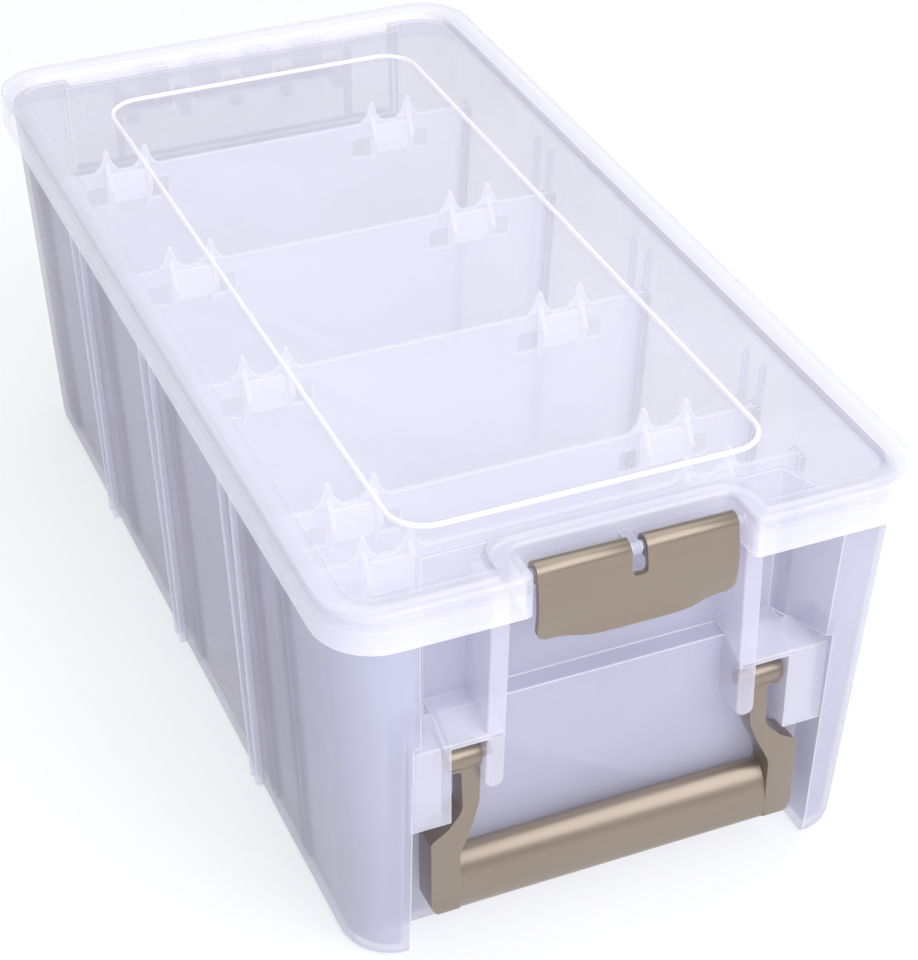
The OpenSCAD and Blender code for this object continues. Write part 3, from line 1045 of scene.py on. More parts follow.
@dataclass
class Lid:
    """Lid with its rim, bead, latch rod and hinge claws. Sizes in millimetres."""

    frame: BoxFrame
    finishes: Finishes
    skirt_height: float = 15.0
    wall: float = 2.0
    plate: float = 2.4
    corner: float = 20.0
    rim_width: float = 10.0
    rim_height: float = 3.0
    fillet: float = 1.3
    edge: float = 0.4
    hollow: float = 0.6
    mouth: float = 2.5
    notch_corner: float = 3.0
    notch_depth: float = 17.0
    notch_side_gap: float = 3.0
    panel: tuple[float, float, float] = (129.0, 314.0, 14.0)
    bead_width: float = 1.8
    bead_height: float = 0.9
    bead_section: tuple[Flat, ...] = (
        (0.0, -0.4), (0.15, 0.55), (0.5, 0.9), (0.9, 1.0), (1.3, 0.9), (1.65, 0.55), (1.8, -0.4)
    )
    rod_radius: float = 1.7
    eye_wall: float = 0.7
    lug_width: float = 3.2
    claw_width: float = 12.0
    claw_pitch: float = 22.4
    claw_wall: float = 2.0
    hinge_bar: float = 2.28

    @property
    def notch_half(self) -> float:
        """Half the width of the notch."""
        return self.frame.latch.high.x + self.notch_side_gap

    @property
    def notch_back(self) -> float:
        """Back of the notch."""
        return self.frame.front + self.notch_depth

    @property
    def plate_top(self) -> float:
        """Top of the plate."""
        return self.frame.top - self.rim_height

    @property
    def skirt_bottom(self) -> float:
        """Lower edge of the skirt."""
        return self.frame.top - self.skirt_height

    def plan(self, inset: float) -> list[Flat]:
        """Works out the lid's plan drawn in by an inset.

        Args:
            inset: Distance from the outer edge.

        Returns:
            Points of the plan, with the notch grown by the inset.
        """
        half_width = self.frame.lid.high.x - inset
        low = self.frame.front + inset
        high = self.frame.back - inset
        notch = self.notch_half + inset
        mouth = max(self.mouth - inset, self.edge)
        bend = self.notch_corner + inset
        outer = self.corner - inset
        return rounded_path(
            [
                Corner(-half_width, low, outer, 8),
                Corner(-notch, low, mouth, 3),
                Corner(-notch, self.notch_back + inset, bend, 4),
                Corner(notch, self.notch_back + inset, bend, 4),
                Corner(notch, low, mouth, 3),
                Corner(half_width, low, outer, 8),
                Corner(half_width, high, outer, 8),
                Corner(-half_width, high, outer, 8),
            ]
        )

    def profile(self) -> list[Flat]:
        """Returns the section from the plate's underside round the skirt to the plate's top."""
        under, top = self.plate_top - self.plate, self.frame.top
        channel, foot = top - self.plate, self.skirt_bottom
        turns = [math.radians(angle) for angle in (0, 22.5, 45, 67.5, 90)]
        shoulder = [
            (self.fillet * (1 - math.cos(turn)), top - self.fillet * (1 - math.sin(turn))) for turn in turns
        ]
        wall, width = self.wall, self.rim_width
        inner = width - wall
        return [
            (inner + 0.5, under),
            (inner, under + 0.5),
            (inner, channel - self.hollow),
            (inner - self.hollow, channel),
            (wall + self.hollow, channel),
            (wall, channel - self.hollow),
            (wall, foot + self.edge),
            (wall - self.edge, foot),
            (self.edge, foot),
            (0.0, foot + self.edge),
            *shoulder,
            (width - 2.2, top),
            (width - 1.1, top - 0.4),
            (width - 0.5, top - 1.3),
            (width, self.plate_top + 0.5),
            (width + 0.7, self.plate_top),
        ]

    def shell(self) -> bpy.types.Object:
        """Models the plate, the rim and the skirt."""
        return loft("lid_shell", [level(self.plan(inset), height) for inset, height in self.profile()])

    def bead(self) -> bpy.types.Object:
        """Models the bead that frames the panel."""
        width, length, radius = self.panel
        span = self.bead_section[-1][0]
        rings = []
        for share, rise in self.bead_section:
            inset = share * self.bead_width / span
            outline = rectangle(width - 2 * inset, length - 2 * inset, radius - inset)
            rings.append(level(outline, self.plate_top + rise * self.bead_height))
        return hoop("lid_bead", rings)

    def latch_rod(self) -> bpy.types.Object:
        """Models the rod that the latch turns on, with its lug in the middle."""
        y, z = self.frame.latch_axis
        eye = self.rod_radius + self.eye_wall
        rod = bar("latch_rod", self.rod_radius, -self.notch_half - SINK, self.notch_half + SINK, (y, z))
        outline = rounded_path(
            [
                Corner(y - eye, z - eye, eye * 0.9, 6),
                Corner(self.notch_back + SINK, z - eye - 1.7),
                Corner(self.notch_back + SINK, self.plate_top - self.plate),
                Corner(y - eye, z + eye, eye * 0.9, 6),
            ]
        )
        half = self.lug_width / 2
        lug = round_edges(prism("latch_lug", outline, Plane.YZ, -half, half))
        return gather("lid_latch_rod", [rod, lug])

    def claws(self) -> bpy.types.Object:
        """Models the claws that clip round the hinge bar."""
        y, z = self.frame.hinge_axis
        outer = self.hinge_bar + self.claw_wall
        mouth = self.hinge_bar * 0.8
        start = math.asin(mouth / outer)
        around = [start + (2 * math.pi - 2 * start) * i / 24 for i in range(25)]
        ring = [(y - outer * math.sin(turn), z - outer * math.cos(turn)) for turn in around]
        start = math.asin(mouth / self.hinge_bar)
        around = [2 * math.pi - start - (2 * math.pi - 2 * start) * i / 20 for i in range(21)]
        inner = self.hinge_bar
        ring += [(y - inner * math.sin(turn), z - inner * math.cos(turn)) for turn in around]
        root = self.plate_top - self.plate + 0.3
        near, far = y - 2.2, y + 4.5
        web = [(near, z + outer - 0.6), (near, root), (far, root), (far, z + 1.5)]
        parts = []
        for step in (-1.5, -0.5, 0.5, 1.5):
            middle = step * self.claw_pitch
            low, high = middle - self.claw_width / 2, middle + self.claw_width / 2
            parts.append(round_edges(prism("claw", ring, Plane.YZ, low, high), 0.3, 1, 60.0))
            parts.append(round_edges(prism("claw_web", web, Plane.YZ, low + 0.2, high - 0.2)))
        return gather("lid_hinge_claws", parts)

    def build(self) -> None:
        """Builds and dresses the lid."""
        dress(self.shell(), self.finishes.lid, Slot.CLEAR, Body.LID, "lid")
        dress(self.bead(), self.finishes.bead, Slot.CLEAR, Body.LID)
        dress(self.latch_rod(), self.finishes.tub, Slot.CLEAR, Body.LID)
        dress(self.claws(), self.finishes.hinge, Slot.CLEAR, Body.LID)


# ---------------------------------------------------------------------- tub


@dataclass
class Tub:
    """Tapered tub with its carrying end, hinge bar and channel ribs. Sizes in millimetres."""

    frame: BoxFrame
    finishes: Finishes
    foot_size: Flat = (180.0, 366.0)
    rim_size: Flat = (192.0, 382.0)
    wall: float = 2.0
    corner: float = 18.0
    rounding: float = 3.0
    recess_half: float = 72.5
    recess_height: float = 91.0
    recess_depths: Flat = (25.5, 21.2)
    setback_half: float = 61.0
    setback_mouth_half: float = 73.5
    setback_depth: float = 28.5
    bracket_depth: float = 10.0
    ear_width: float = 6.4
    ear_inner_top: float = 39.5
    ear_lean: float = 1.6
    ear_bottom: float = 64.0
    ear_top: float = 139.0
    housing_bottom: float = 54.0
    barrel_gap: float = 0.4
    barrel_length: float = 10.6
    cheek: float = 2.4
    roof_drop: float = 5.0
    roof_thickness: float = 2.0
    bracket_edge: float = 0.9
    catch_half: float = 27.0
    catch_height: float = 8.3
    catch_thickness: float = 3.0
    gusset_drop: float = 9.0
    rib_width: float = 2.0
    rib_proud: float = 2.6
    rib_spreads: Flat = (5.5, 12.0)
    rib_top: float = 132.0
    rib_pitch: float = 87.0
    channel: float = 3.0
    inner_rib_top: float = 119.0
    hinge_bar: float = 2.2
    lug_pitch: float = 22.4
    lug_width: float = 5.0
    lug_wall: float = 1.58
    hinge_recess_half: float = 70.0
    hinge_recess_depth: float = 11.0
    hinge_ledge: float = 107.0
    hinge_rib_place: float = 50.3

    @property
    def rim(self) -> float:
        """Height of the tub's rim."""
        return self.frame.tub.high.z

    @property
    def bracket_front(self) -> float:
        """Front face of the brackets."""
        return self.frame.front + self.bracket_depth

    @property
    def set_wall(self) -> float:
        """Front face of the set-back wall."""
        return self.frame.front + self.setback_depth

    @property
    def ear_foot(self) -> float:
        """Inner side of an ear at its lower end."""
        return self.ear_inner_top + self.ear_lean

    @property
    def housing_inner(self) -> float:
        """Inner side of a housing."""
        return self.ear_foot + self.ear_width + 2 * self.barrel_gap + self.barrel_length

    def half_size(self, height: float) -> Flat:
        """Returns half the width and half the length of the tub at a height."""
        share = height / self.rim
        return tuple((foot + (rim - foot) * share) / 2 for foot, rim in zip(self.foot_size, self.rim_size))

    def recess_wall(self, height: float) -> float:
        """Returns the front face of the recess's wall at a height."""
        low, high = self.recess_depths
        return self.frame.front + low + (high - low) * height / self.recess_height

    def plan(self, height: float, inset: float) -> list[Point]:
        """Returns the tub's plan at a height, drawn in by an inset."""
        width, length = (2 * (half - inset) for half in self.half_size(height))
        return level(rectangle(width, length, self.corner - inset, 8), height)

    def block(self, name: str, inset: float, floor: float, top: float) -> bpy.types.Object:
        """Models a tapered block with a rounded foot.

        Args:
            name: Name of the object.
            inset: Distance of its sides inside the tub's outside.
            floor: Height of its underside.
            top: Height of its top.

        Returns:
            The block.
        """
        rings = []
        for angle in (0, 30, 60, 90):
            turn = math.radians(angle)
            drawn = inset + self.rounding * (1 - math.sin(turn))
            rings.append(self.plan(floor + self.rounding * (1 - math.cos(turn)), drawn))
        rings.append(self.plan(top, inset))
        return loft(name, rings)

    def recess_cutters(self, grow: float) -> list[bpy.types.Object]:
        """Models what is taken out of both ends.

        Args:
            grow: Distance by which each cutter is larger than its recess.

        Returns:
            Cutters for the handle's recess, the set-back wall and the hinge's recess.
        """
        outside, behind = self.frame.front - OVERREACH, self.frame.back + OVERREACH
        ceiling = self.recess_height + grow
        above = self.rim + OVERREACH
        handle = [
            (outside, -OVERREACH),
            (self.recess_wall(-OVERREACH) + grow, -OVERREACH),
            (self.recess_wall(ceiling) + grow, ceiling),
            (outside, ceiling),
        ]
        half, mouth = self.setback_half + grow, self.setback_mouth_half + grow
        lip = self.frame.front - 1
        setback = [(-half, self.set_wall + grow), (half, self.set_wall + grow), (mouth, lip), (-mouth, lip)]
        inner = self.frame.back - self.hinge_recess_depth - grow
        ledge = self.hinge_ledge - grow
        rear = [(behind, ledge), (inner, ledge), (inner, above), (behind, above)]
        return [
            prism("cutter", handle, Plane.YZ, -self.recess_half - grow, self.recess_half + grow),
            prism("cutter", setback, Plane.XY, self.recess_height - SINK - grow, above),
            prism("cutter", rear, Plane.YZ, -self.hinge_recess_half - grow, self.hinge_recess_half + grow),
        ]

    def shell(self) -> bpy.types.Object:
        """Models the walls and the floor."""
        outside = cut(self.block("tub_shell", 0.0, 0.0, self.rim), *self.recess_cutters(0.0))
        hollow = self.block("inside", self.wall, self.wall, self.rim + 2)
        inside = cut(hollow, *self.recess_cutters(self.wall))
        return round_edges(cut(outside, inside), 0.5, 2, 50.0)

    def ears(self) -> bpy.types.Object:
        """Models the ears beside the handle's barrels."""
        inner, foot, width = self.ear_inner_top, self.ear_foot, self.ear_width
        outline = rounded_path(
            [
                Corner(inner, self.ear_top),
                Corner(foot, self.ear_bottom, width * 0.45, 5),
                Corner(foot + width, self.ear_bottom, width * 0.45, 5),
                Corner(inner + width, self.ear_top),
            ]
        )
        ear = prism("tub_ears", outline, Plane.XZ, self.bracket_front, self.set_wall + SINK)
        low, high = self.ear_bottom - OVERREACH, self.recess_height - 0.4
        below = [
            (self.recess_wall(self.ear_bottom) + SINK, low),
            (self.recess_wall(self.recess_height) + SINK, high),
            (self.set_wall + OVERREACH, high),
            (self.set_wall + OVERREACH, low),
        ]
        cut(ear, prism("cutter", below, Plane.YZ, 0, self.frame.tub.high.x))
        return mirrored(round_edges(ear, self.bracket_edge, 3))

    def housings(self) -> bpy.types.Object:
        """Models the hollow housings outside the handle's barrels."""
        front, bottom, ceiling = self.bracket_front, self.housing_bottom, self.recess_height
        wall_low, wall_high = self.recess_wall(bottom), self.recess_wall(ceiling)
        drop = ceiling - self.roof_drop
        inner, outer = self.housing_inner, self.recess_half + SINK
        outline = [
            (front, bottom),
            (wall_low + SINK, bottom),
            (wall_high + SINK, ceiling),
            (wall_high - 1, ceiling),
            (front, drop),
        ]
        housing = prism("tub_housings", outline, Plane.YZ, inner, outer)
        pocket = [
            (front + self.cheek, bottom - OVERREACH),
            (wall_low, bottom - OVERREACH),
            (self.recess_wall(drop), drop - self.cheek),
            (front + self.cheek, drop - self.cheek),
        ]
        cut(housing, prism("cutter", pocket, Plane.YZ, inner + self.cheek, outer - self.cheek))
        return mirrored(round_edges(housing, self.bracket_edge, 3))

    def roofs(self) -> bpy.types.Object:
        """Models the sloping roofs over the handle's barrels."""
        front, ceiling = self.bracket_front, self.recess_height
        wall_high = self.recess_wall(ceiling)
        drop, thick = ceiling - self.roof_drop, self.roof_thickness
        outline = [
            (self.set_wall + SINK, ceiling),
            (wall_high - 1, ceiling),
            (front, drop),
            (front, drop - thick),
            (wall_high - 1, ceiling - thick),
            (self.set_wall + SINK, ceiling - thick),
        ]
        roof = prism("tub_roofs", outline, Plane.YZ, self.ear_foot, self.housing_inner + self.cheek)
        return mirrored(round_edges(roof, 0.5))

    def catch(self) -> bpy.types.Object:
        """Models the ledge that the latch snaps over, with its gussets."""
        top = self.frame.latch.low.z + self.catch_height
        under = top - self.catch_thickness
        reach = self.frame.latch_axis[0] + 2.9
        wall = self.set_wall + SINK
        ledge = [(wall, top), (reach + 0.8, top), (reach, top - 0.8), (reach, under), (wall, under)]
        parts = [round_edges(prism("tub_catch", ledge, Plane.YZ, -self.catch_half, self.catch_half))]
        gusset = [(wall, under), (reach + 3, under), (wall, under - self.gusset_drop)]
        for step in (-1, 0, 1):
            middle = step * (self.catch_half - 4)
            parts.append(prism("gusset", gusset, Plane.YZ, middle - self.wall / 2, middle + self.wall / 2))
        return gather("tub_catch", parts)

    def hinge(self) -> bpy.types.Object:
        """Models the hinge bar and the lugs that carry it."""
        y, z = self.frame.hinge_axis
        inner = self.frame.back - self.hinge_recess_depth - SINK
        eye = self.hinge_bar + self.lug_wall
        outline = rounded_path(
            [
                Corner(inner, z - 7),
                Corner(y + eye, z - eye, eye, 6),
                Corner(y + eye, z + eye, eye, 6),
                Corner(inner, z + 5),
            ]
        )
        parts = [bar("tub_hinge", self.hinge_bar, -2 * self.lug_pitch, 2 * self.lug_pitch, (y, z))]
        for step in (-2, -1, 0, 1, 2):
            middle = step * self.lug_pitch
            lug = prism("lug", outline, Plane.YZ, middle - self.lug_width / 2, middle + self.lug_width / 2)
            parts.append(round_edges(lug))
        rib = [(inner, self.hinge_ledge), (y + 1, self.hinge_ledge), (y + 1, z + 6), (inner, z + 12)]
        half = self.rib_width / 2
        for x in (-self.hinge_rib_place, self.hinge_rib_place):
            parts.append(round_edges(prism("rib", rib, Plane.YZ, x - half, x + half)))
        return gather("tub_hinge", parts)

    def rib(self, y: float, side: int) -> bpy.types.Object:
        """Models one outer rib on the right wall.

        Args:
            y: Place of the divider that the pair of ribs belongs to.
            side: Which rib of the pair, -1 or 1.

        Returns:
            The rib.
        """
        rings = []
        narrow, wide = self.rib_spreads
        for height, proud in ((self.rounding, 1.0), (self.rib_top, 0.8)):
            wall = self.half_size(height)[0]
            middle = y + side * (narrow + (wide - narrow) * height / self.rib_top) / 2
            low, high = middle - self.rib_width / 2, middle + self.rib_width / 2
            rings.append(strip(wall - SINK, wall + self.rib_proud * proud, low, high, height))
        return round_edges(loft("rib", rings), 0.5, 3)

    def outer_ribs(self) -> bpy.types.Object:
        """Models the pairs of outer ribs on both walls."""
        places = [step * self.rib_pitch for step in (-1, 0, 1)]
        ribs = [self.rib(y, side) for y in places for side in (-1, 1)]
        return mirrored(gather("tub_outer_ribs", ribs))

    def inner_ribs(self) -> bpy.types.Object:
        """Models the pairs of inner ribs that hold the dividers."""
        ribs = []
        for y in [NodeBox.of(node).high.y - 1.0 for node in DIVIDERS]:
            for side in (-1, 1):
                middle = y + side * (self.channel + self.rib_width) / 2
                rings = []
                for height in (self.wall + SINK, self.inner_rib_top):
                    wall = self.half_size(height)[0] - self.wall
                    low, high = middle - self.rib_width / 2, middle + self.rib_width / 2
                    rings.append(strip(wall + 0.4, wall - self.rib_proud, low, high, height))
                ribs.append(round_edges(loft("rib", rings)))
        return mirrored(gather("tub_inner_ribs", ribs))

    def build(self) -> None:
        """Builds and dresses the tub."""
        dress(self.shell(), self.finishes.tub, Slot.FROSTED, Body.TUB, "tub")
        for piece in (self.ears, self.housings, self.roofs, self.catch, self.hinge, self.outer_ribs):
            dress(piece(), self.finishes.bracket, Slot.FROSTED, Body.TUB)
        dress(self.inner_ribs(), self.finishes.tub, Slot.FROSTED, Body.TUB)


# -------------------------------------------------------------------- latch


@dataclass
class Latch:
    """Latch with its rolled edge, curved plate and thumb lip. Sizes in millimetres."""

    frame: BoxFrame
    finishes: Finishes
    barrel: float = 3.6
    plate: float = 2.2
    slot_half: float = 2.6
    slot_height: float = 10.8
    slot_corner: float = 1.5
    bow: float = 3.0
    lip_flare: float = 2.6
    lip_drop: float = 0.8
    lip_half: float = 22.0
    lip_start: float = 0.62
    corner: float = 3.0
    rod: float = 1.78
    grid: tuple[int, int] = (40, 18)

    def sheet_point(self, across: float, down: float) -> Point:
        """Works out a point of the plate's front face.

        Args:
            across: Place from -1, the left edge, to 1, the right edge.
            down: Place from 0, level with the rod, to 1, the lower edge.

        Returns:
            The point in millimetres.
        """
        y, z = self.frame.latch_axis
        height = z - (self.frame.latch.low.z + 0.3)
        drop = down * height
        near_foot = max(0.0, self.corner - (height - drop))
        side = self.corner - math.sqrt(max(self.corner**2 - near_foot**2, 0.0))
        x = across * self.frame.latch.high.x - across * side
        fall = max(0.0, (down - self.lip_start) / (1 - self.lip_start)) ** 2
        lip = math.exp(-((x / self.lip_half) ** 6)) * fall
        bow = self.bow * math.sin(math.pi * down) - 0.4
        return (x, y - self.barrel - 0.2 - bow * 0.5 - self.lip_flare * lip, z - drop - self.lip_drop * lip)

    def flap(self) -> bpy.types.Object:
        """Models the curved plate as a shaped grid with a thickness."""
        columns, rows = self.grid
        deselect_all()
        bpy.ops.mesh.primitive_grid_add(x_subdivisions=columns, y_subdivisions=rows, size=2.0)
        sheet = bpy.context.object
        sheet.name = "latch_flap"
        for vertex in sheet.data.vertices:
            across, down = vertex.co.x, (1 - vertex.co.y) / 2
            vertex.co = Vector(self.sheet_point(across, down)) * MM
        apply_modifier(sheet, "SOLIDIFY", thickness=self.plate * MM, offset=-1.0, use_even_offset=True)
        edit(sheet, face_outwards)
        return sheet

    def build(self) -> None:
        """Builds and dresses the latch."""
        y, z = self.frame.latch_axis
        half = self.frame.latch.high.x
        flap = fuse(self.flap(), bar("roll", self.barrel, -half, half, (y, z), 40))
        foot, above = z + self.barrel - self.slot_height, z + 2 * OVERREACH
        slot = rounded_path(
            [
                Corner(-self.slot_half, foot, self.slot_corner, 4),
                Corner(self.slot_half, foot, self.slot_corner, 4),
                Corner(self.slot_half, above),
                Corner(-self.slot_half, above),
            ]
        )
        cut(
            flap,
            prism("cutter", slot, Plane.XZ, y - 2 * OVERREACH, y + 2 * OVERREACH),
            bar("cutter", self.rod, -half - OVERREACH, half + OVERREACH, (y, z)),
        )
        round_edges(flap, 0.45, 2, 48.0)
        dress(flap, self.finishes.paint, Slot.PAINT, Body.LATCH, "latch")


# ------------------------------------------------------------------- handle


@dataclass
class Handle:
    """Bail handle with its grip, end blocks, arms, barrels and pins. Sizes in millimetres."""

    frame: BoxFrame
    finishes: Finishes
    barrel: float = 4.5
    barrel_low: float = 47.9
    barrel_high: float = 58.5
    pin: float = 2.2
    pin_reach: float = 4.5
    outer_pin_reach: float = 2.7
    grip_height: float = 20.4
    grip_depth: float = 10.4
    block_width: float = 10.0
    block_height: float = 32.4
    arm_width: float = 6.1
    lift: float = 0.6
    dome: Flat = (8.8, 14.5)

    @property
    def behind(self) -> float:
        """Back face of the grip."""
        return self.frame.handle_axis[0] + self.barrel

    @property
    def face(self) -> float:
        """Front face of the grip."""
        return self.behind - self.grip_depth

    @property
    def bottom(self) -> float:
        """Lower edge of the handle."""
        return self.frame.handle.low.z + self.lift

    def arms(self) -> bpy.types.Object:
        """Models the arms and end blocks."""
        outer = self.frame.handle.high.x
        top = self.bottom + self.block_height
        z = self.frame.handle_axis[1]
        low, high = self.barrel_low, self.barrel_high
        joint = outer - self.block_width
        edge = low + self.arm_width
        outline = rounded_path(
            [
                Corner(low, z + 0.5),
                Corner(low - 0.2, z - 9, 12, 3),
                Corner(low + 0.3, z - 18, 14, 3),
                Corner(low + 3.0, z - 25.5, 14, 3),
                Corner(joint, z - 35, 8, 4),
                Corner(joint, self.bottom),
                Corner(outer - 2.5, self.bottom, 2, 3),
                Corner(outer, self.bottom + 3.5, 2, 3),
                Corner(outer, top - 1, 2.2, 4),
                Corner(outer - 6, top + 2.4, 5, 4),
                Corner(edge, top + 8, 6, 4),
                Corner(edge, z - self.barrel - 0.2, 0.8, 3),
                Corner(high, z - self.barrel),
                Corner(high, z + 0.5),
            ]
        )
        arm = prism("handle_arms", outline, Plane.XZ, self.face - 1, self.behind + 1)
        front = self.frame.handle_axis[0] - self.barrel
        side = rounded_path(
            [
                Corner(front + 4.5, z - 1),
                Corner(front + 1.8, z - 4, 3, 3),
                Corner(front + 0.4, z - 20, 14, 3),
                Corner(self.face, top - 4, 14, 3),
                Corner(self.face, self.bottom, 1.2, 3),
                Corner(self.behind, self.bottom, 2, 3),
                Corner(self.behind, top + 2, 8, 3),
                Corner(self.behind - 1.2, z + 1),
            ]
        )
        keeper = prism("side", side, Plane.YZ, low - 2 * OVERREACH, outer + OVERREACH)
        apply_modifier(arm, "BOOLEAN", operation="INTERSECT", solver="EXACT", object=keeper)
        bpy.data.objects.remove(keeper, do_unlink=True)
        fuse(arm, bar("barrel", self.barrel, low, high, self.frame.handle_axis, 40))
        return mirrored(arm)

    def grip(self) -> bpy.types.Object:
        """Models the grip, rounded over its upper front."""
        half = self.frame.handle.high.x - self.block_width + 1.5
        behind, face, bottom = self.behind, self.face, self.bottom
        top = bottom + self.grip_height
        deep, tall = self.dome
        turns = [math.radians(step * 7.5) for step in range(13)]
        section = [
            (behind, bottom + 1.0),
            (behind, top - 1.4),
            (behind - 0.8, top - 0.2),
            *((face + deep * (1 - math.sin(turn)), top - tall * (1 - math.cos(turn))) for turn in turns),
            (face + 0.2, bottom + 2.0),
            (face + 1.2, bottom),
            (behind - 1.0, bottom),
        ]
        return prism("handle_grip", section, Plane.YZ, -half, half)

    def pins(self) -> bpy.types.Object:
        """Models the pivot pins."""
        low, high = self.barrel_low, self.barrel_high
        spans = ((low - self.pin_reach, low + SINK), (high - SINK, high + self.outer_pin_reach))
        pins = [bar("pin", self.pin, start, end, self.frame.handle_axis, 24) for start, end in spans]
        return mirrored(gather("handle_pins", pins))

    def build(self) -> None:
        """Builds and dresses the handle."""
        bail = round_edges(fuse(self.arms(), self.grip()), 0.8, 3, 38.0)
        bail.name = "handle_bail"
        dress(bail, self.finishes.paint, Slot.PAINT, Body.HANDLE, "handle")
        dress(self.pins(), self.finishes.paint, Slot.PAINT, Body.HANDLE)


# ----------------------------------------------------------------- dividers


@dataclass
class Divider:
    """Upright divider with tabs, fins, finger pads and windows. Sizes in millimetres."""

    frame: BoxFrame
    finishes: Finishes
    node: str
    thickness: float = 2.0
    tab_height: float = 9.0
    tab_width: float = 10.0
    tabs: Flat = (49.0, 65.0)
    fin_height: float = 19.0
    pad_depth: float = 1.5
    pad_height: float = 13.0
    window: Flat = (9.0, 8.5)
    window_drop: float = 6.5
    window_corner: float = 1.4
    tab_corner: float = 1.5
    tab_tip: float = 0.6
    foot_inset: float = 4.6
    foot_corner: float = 4.0

    def tab(self, middle: float, top: float) -> list[Corner]:
        """Works out the outline of one tab, from its outer side to its inner side.

        Args:
            middle: Place of the tab.
            top: Height of the divider's edge.

        Returns:
            Corners of the tab.
        """
        foot = self.tab_width / 2
        waist = top + self.tab_height * 0.34
        outer, tip = top + self.tab_height, self.tab_tip
        return [
            Corner(middle + foot, top, self.tab_corner, 3),
            Corner(middle + foot * 0.5, waist, 3.0, 3),
            Corner(middle + tip, outer, 0.4, 2),
            Corner(middle - tip, outer, 0.4, 2),
            Corner(middle - foot * 0.5, waist, 3.0, 3),
            Corner(middle - foot, top, self.tab_corner, 3),
        ]

    def outline(self, box: NodeBox) -> list[Flat]:
        """Works out the divider's front view.

        Args:
            box: Box of its node.

        Returns:
            Points of the outline.
        """
        top = box.high.z - self.tab_height
        right = [
            Corner(box.high.x - self.foot_inset, box.low.z, self.foot_corner, 4),
            Corner(box.high.x, top, self.tab_corner, 3),
        ]
        for middle in reversed(self.tabs):
            right += self.tab(middle, top)
        left = [Corner(-each.u, each.v, each.radius, each.steps) for each in reversed(right)]
        return rounded_path(right + left)

    def plate(self, box: NodeBox, face: float) -> bpy.types.Object:
        """Models the plate with its windows.

        Args:
            box: Box of the node.
            face: Front face of the plate.

        Returns:
            The plate.
        """
        plate = prism(f"{self.node}_plate", self.outline(box), Plane.XZ, face, box.high.y)
        width, height = self.window
        high = box.high.z - self.tab_height - self.window_drop
        inner, outer = self.tabs
        middle = (inner + outer) / 2
        offset = (outer - inner) / 2 + self.tab_width / 2 - 0.5
        for x in (middle - offset, middle + offset, offset - middle, -offset - middle):
            left, right = x - width / 2, x + width / 2
            corners = ((left, high - height), (right, high - height), (right, high), (left, high))
            hole = rounded_path([Corner(u, v, self.window_corner, 3) for u, v in corners])
            cut(plate, prism("cutter", hole, Plane.XZ, face - OVERREACH, box.high.y + OVERREACH))
        return round_edges(plate)

    def grips(self, box: NodeBox, face: float) -> bpy.types.Object:
        """Models the fins in front of the tabs and the pads between them.

        Args:
            box: Box of the node.
            face: Front face of the plate.

        Returns:
            Fins and pads of both sides.
        """
        top = box.high.z - self.tab_height
        depth = face - box.low.y
        inner, outer = self.tabs
        half = self.thickness / 2
        low, high, foot = inner + half, outer - half, top - self.pad_height - 1
        foot_corners = [Corner(low, foot, 2, 3), Corner(high, foot, 2, 3)]
        pad = rounded_path([*foot_corners, Corner(high, top - 1, 1, 2), Corner(low, top - 1, 1, 2)])
        parts = [round_edges(prism("pad", pad, Plane.XZ, face - self.pad_depth, face + SINK), 0.5)]
        fin = rounded_path(
            [
                Corner(face + SINK, top + self.tab_height / 2),
                Corner(face - depth, top - depth, 1.2, 3),
                Corner(face + SINK, top - self.fin_height),
            ]
        )
        for middle in self.tabs:
            parts.append(round_edges(prism("fin", fin, Plane.YZ, middle - half, middle + half)))
        return mirrored(gather(f"{self.node}_grips", parts))

    def build(self) -> None:
        """Builds and dresses the divider."""
        box = NodeBox.of(self.node)
        face = box.high.y - self.thickness
        dress(self.plate(box, face), self.finishes.divider, Slot.DIVIDER, Body.TUB, self.node)
        dress(self.grips(box, face), self.finishes.grips, Slot.DIVIDER, Body.TUB)


# ------------------------------------------------------------------- studio


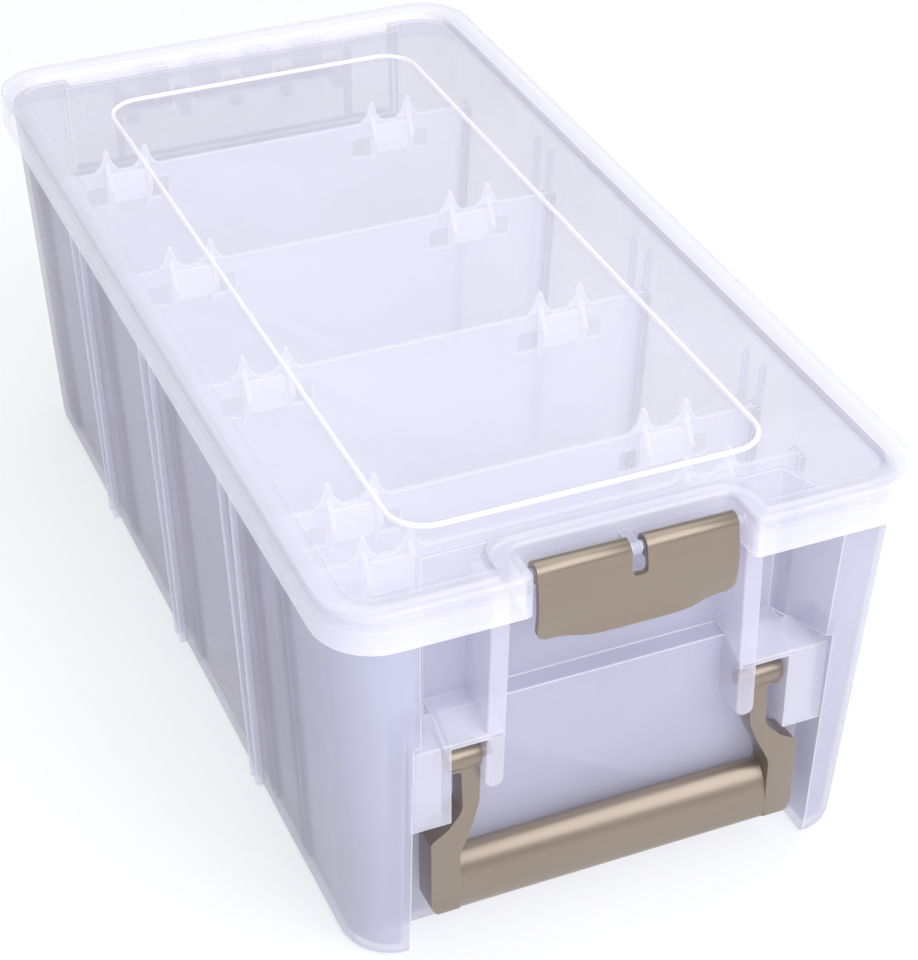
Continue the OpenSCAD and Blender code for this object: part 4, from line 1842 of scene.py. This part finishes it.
@dataclass
class Studio:
    """Plain pale floor, soft lights and the camera. Sizes in metres."""

    floor_size: float = 9.0
    floor_tones: tuple[Colour, Colour] = ((0.40, 0.40, 0.41), (0.42, 0.42, 0.42))
    floor_light: Colour = (0.97, 0.98, 1.0)
    floor_glow: float = 0.6
    sky_colour: Colour = (0.97, 0.975, 1.0)
    sky_strength: float = 0.34
    aim: Point = (0.0, 0.0, 0.08)
    light_layers: int = 48
    camera_place: Point = (-0.2803, -0.7061, 0.5790)
    camera_turn: Point = (55.16, -0.17, -23.09)
    lens: float = 91.68
    sensor: float = 36.0
    lamps: dict[str, tuple[Point, float, float]] = field(
        default_factory=lambda: {
            "key": ((0.45, -1.5, 1.45), 29.0, 1.7),
            "fill": ((-0.5, -1.7, 0.7), 7.0, 1.0),
            "top": ((0.2, 0.3, 1.9), 20.0, 2.0),
        }
    )

    def floor(self) -> None:
        """Lays the floor."""
        deselect_all()
        bpy.ops.mesh.primitive_plane_add(size=self.floor_size)
        floor = bpy.context.object
        floor.name = "floor"
        material, wire, shader = start_material("pale_floor")
        noise = wire.add("TexNoise", Scale=3.0, Detail=2.0)
        dark, pale = self.floor_tones
        wire.link(wire.mix(noise.outputs["Fac"], (*dark, 1.0), (*pale, 1.0)), shader.inputs["Base Color"])
        shader.inputs["Roughness"].default_value = 0.7
        shader.inputs["Emission Color"].default_value = (*self.floor_light, 1.0)
        shader.inputs["Emission Strength"].default_value = self.floor_glow
        floor.data.materials.append(material)

    def light(self) -> None:
        """Hangs the lamps and sets the sky."""
        for name, (place, power, size) in self.lamps.items():
            data = bpy.data.lights.new(name, "AREA")
            data.energy = power
            data.size = size
            lamp = bpy.data.objects.new(name, data)
            bpy.context.scene.collection.objects.link(lamp)
            lamp.location = place
            towards = Vector(self.aim) - lamp.location
            lamp.rotation_euler = towards.to_track_quat("-Z", "Y").to_euler()
        world = bpy.data.worlds.new("studio_sky")
        world.use_nodes = True
        sky = world.node_tree.nodes["Background"]
        sky.inputs["Color"].default_value = (*self.sky_colour, 1.0)
        sky.inputs["Strength"].default_value = self.sky_strength
        bpy.context.scene.world = world

    def camera(self) -> None:
        """Places the camera."""
        data = bpy.data.cameras.new("camera")
        data.lens = self.lens
        data.sensor_width = self.sensor
        camera = bpy.data.objects.new("camera", data)
        bpy.context.scene.collection.objects.link(camera)
        camera.location = self.camera_place
        camera.rotation_euler = tuple(math.radians(turn) for turn in self.camera_turn)
        bpy.context.scene.camera = camera

    def build(self) -> None:
        """Builds the studio."""
        self.camera()
        self.floor()
        self.light()
        scene = bpy.context.scene
        scene.view_settings.view_transform = "Standard"
        scene.cycles.transparent_max_bounces = self.light_layers


def main() -> None:
    """Builds the whole scene."""
    logging.basicConfig(level=logging.INFO, format="%(message)s")
    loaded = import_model()
    frame = BoxFrame.read(loaded)
    Studio().build()
    finishes = Finishes.build()
    Tub(frame, finishes).build()
    for node in DIVIDERS:
        Divider(frame, finishes, node).build()
    Lid(frame, finishes).build()
    Latch(frame, finishes).build()
    Handle(frame, finishes).build()


if __name__ == "__main__":
    main()
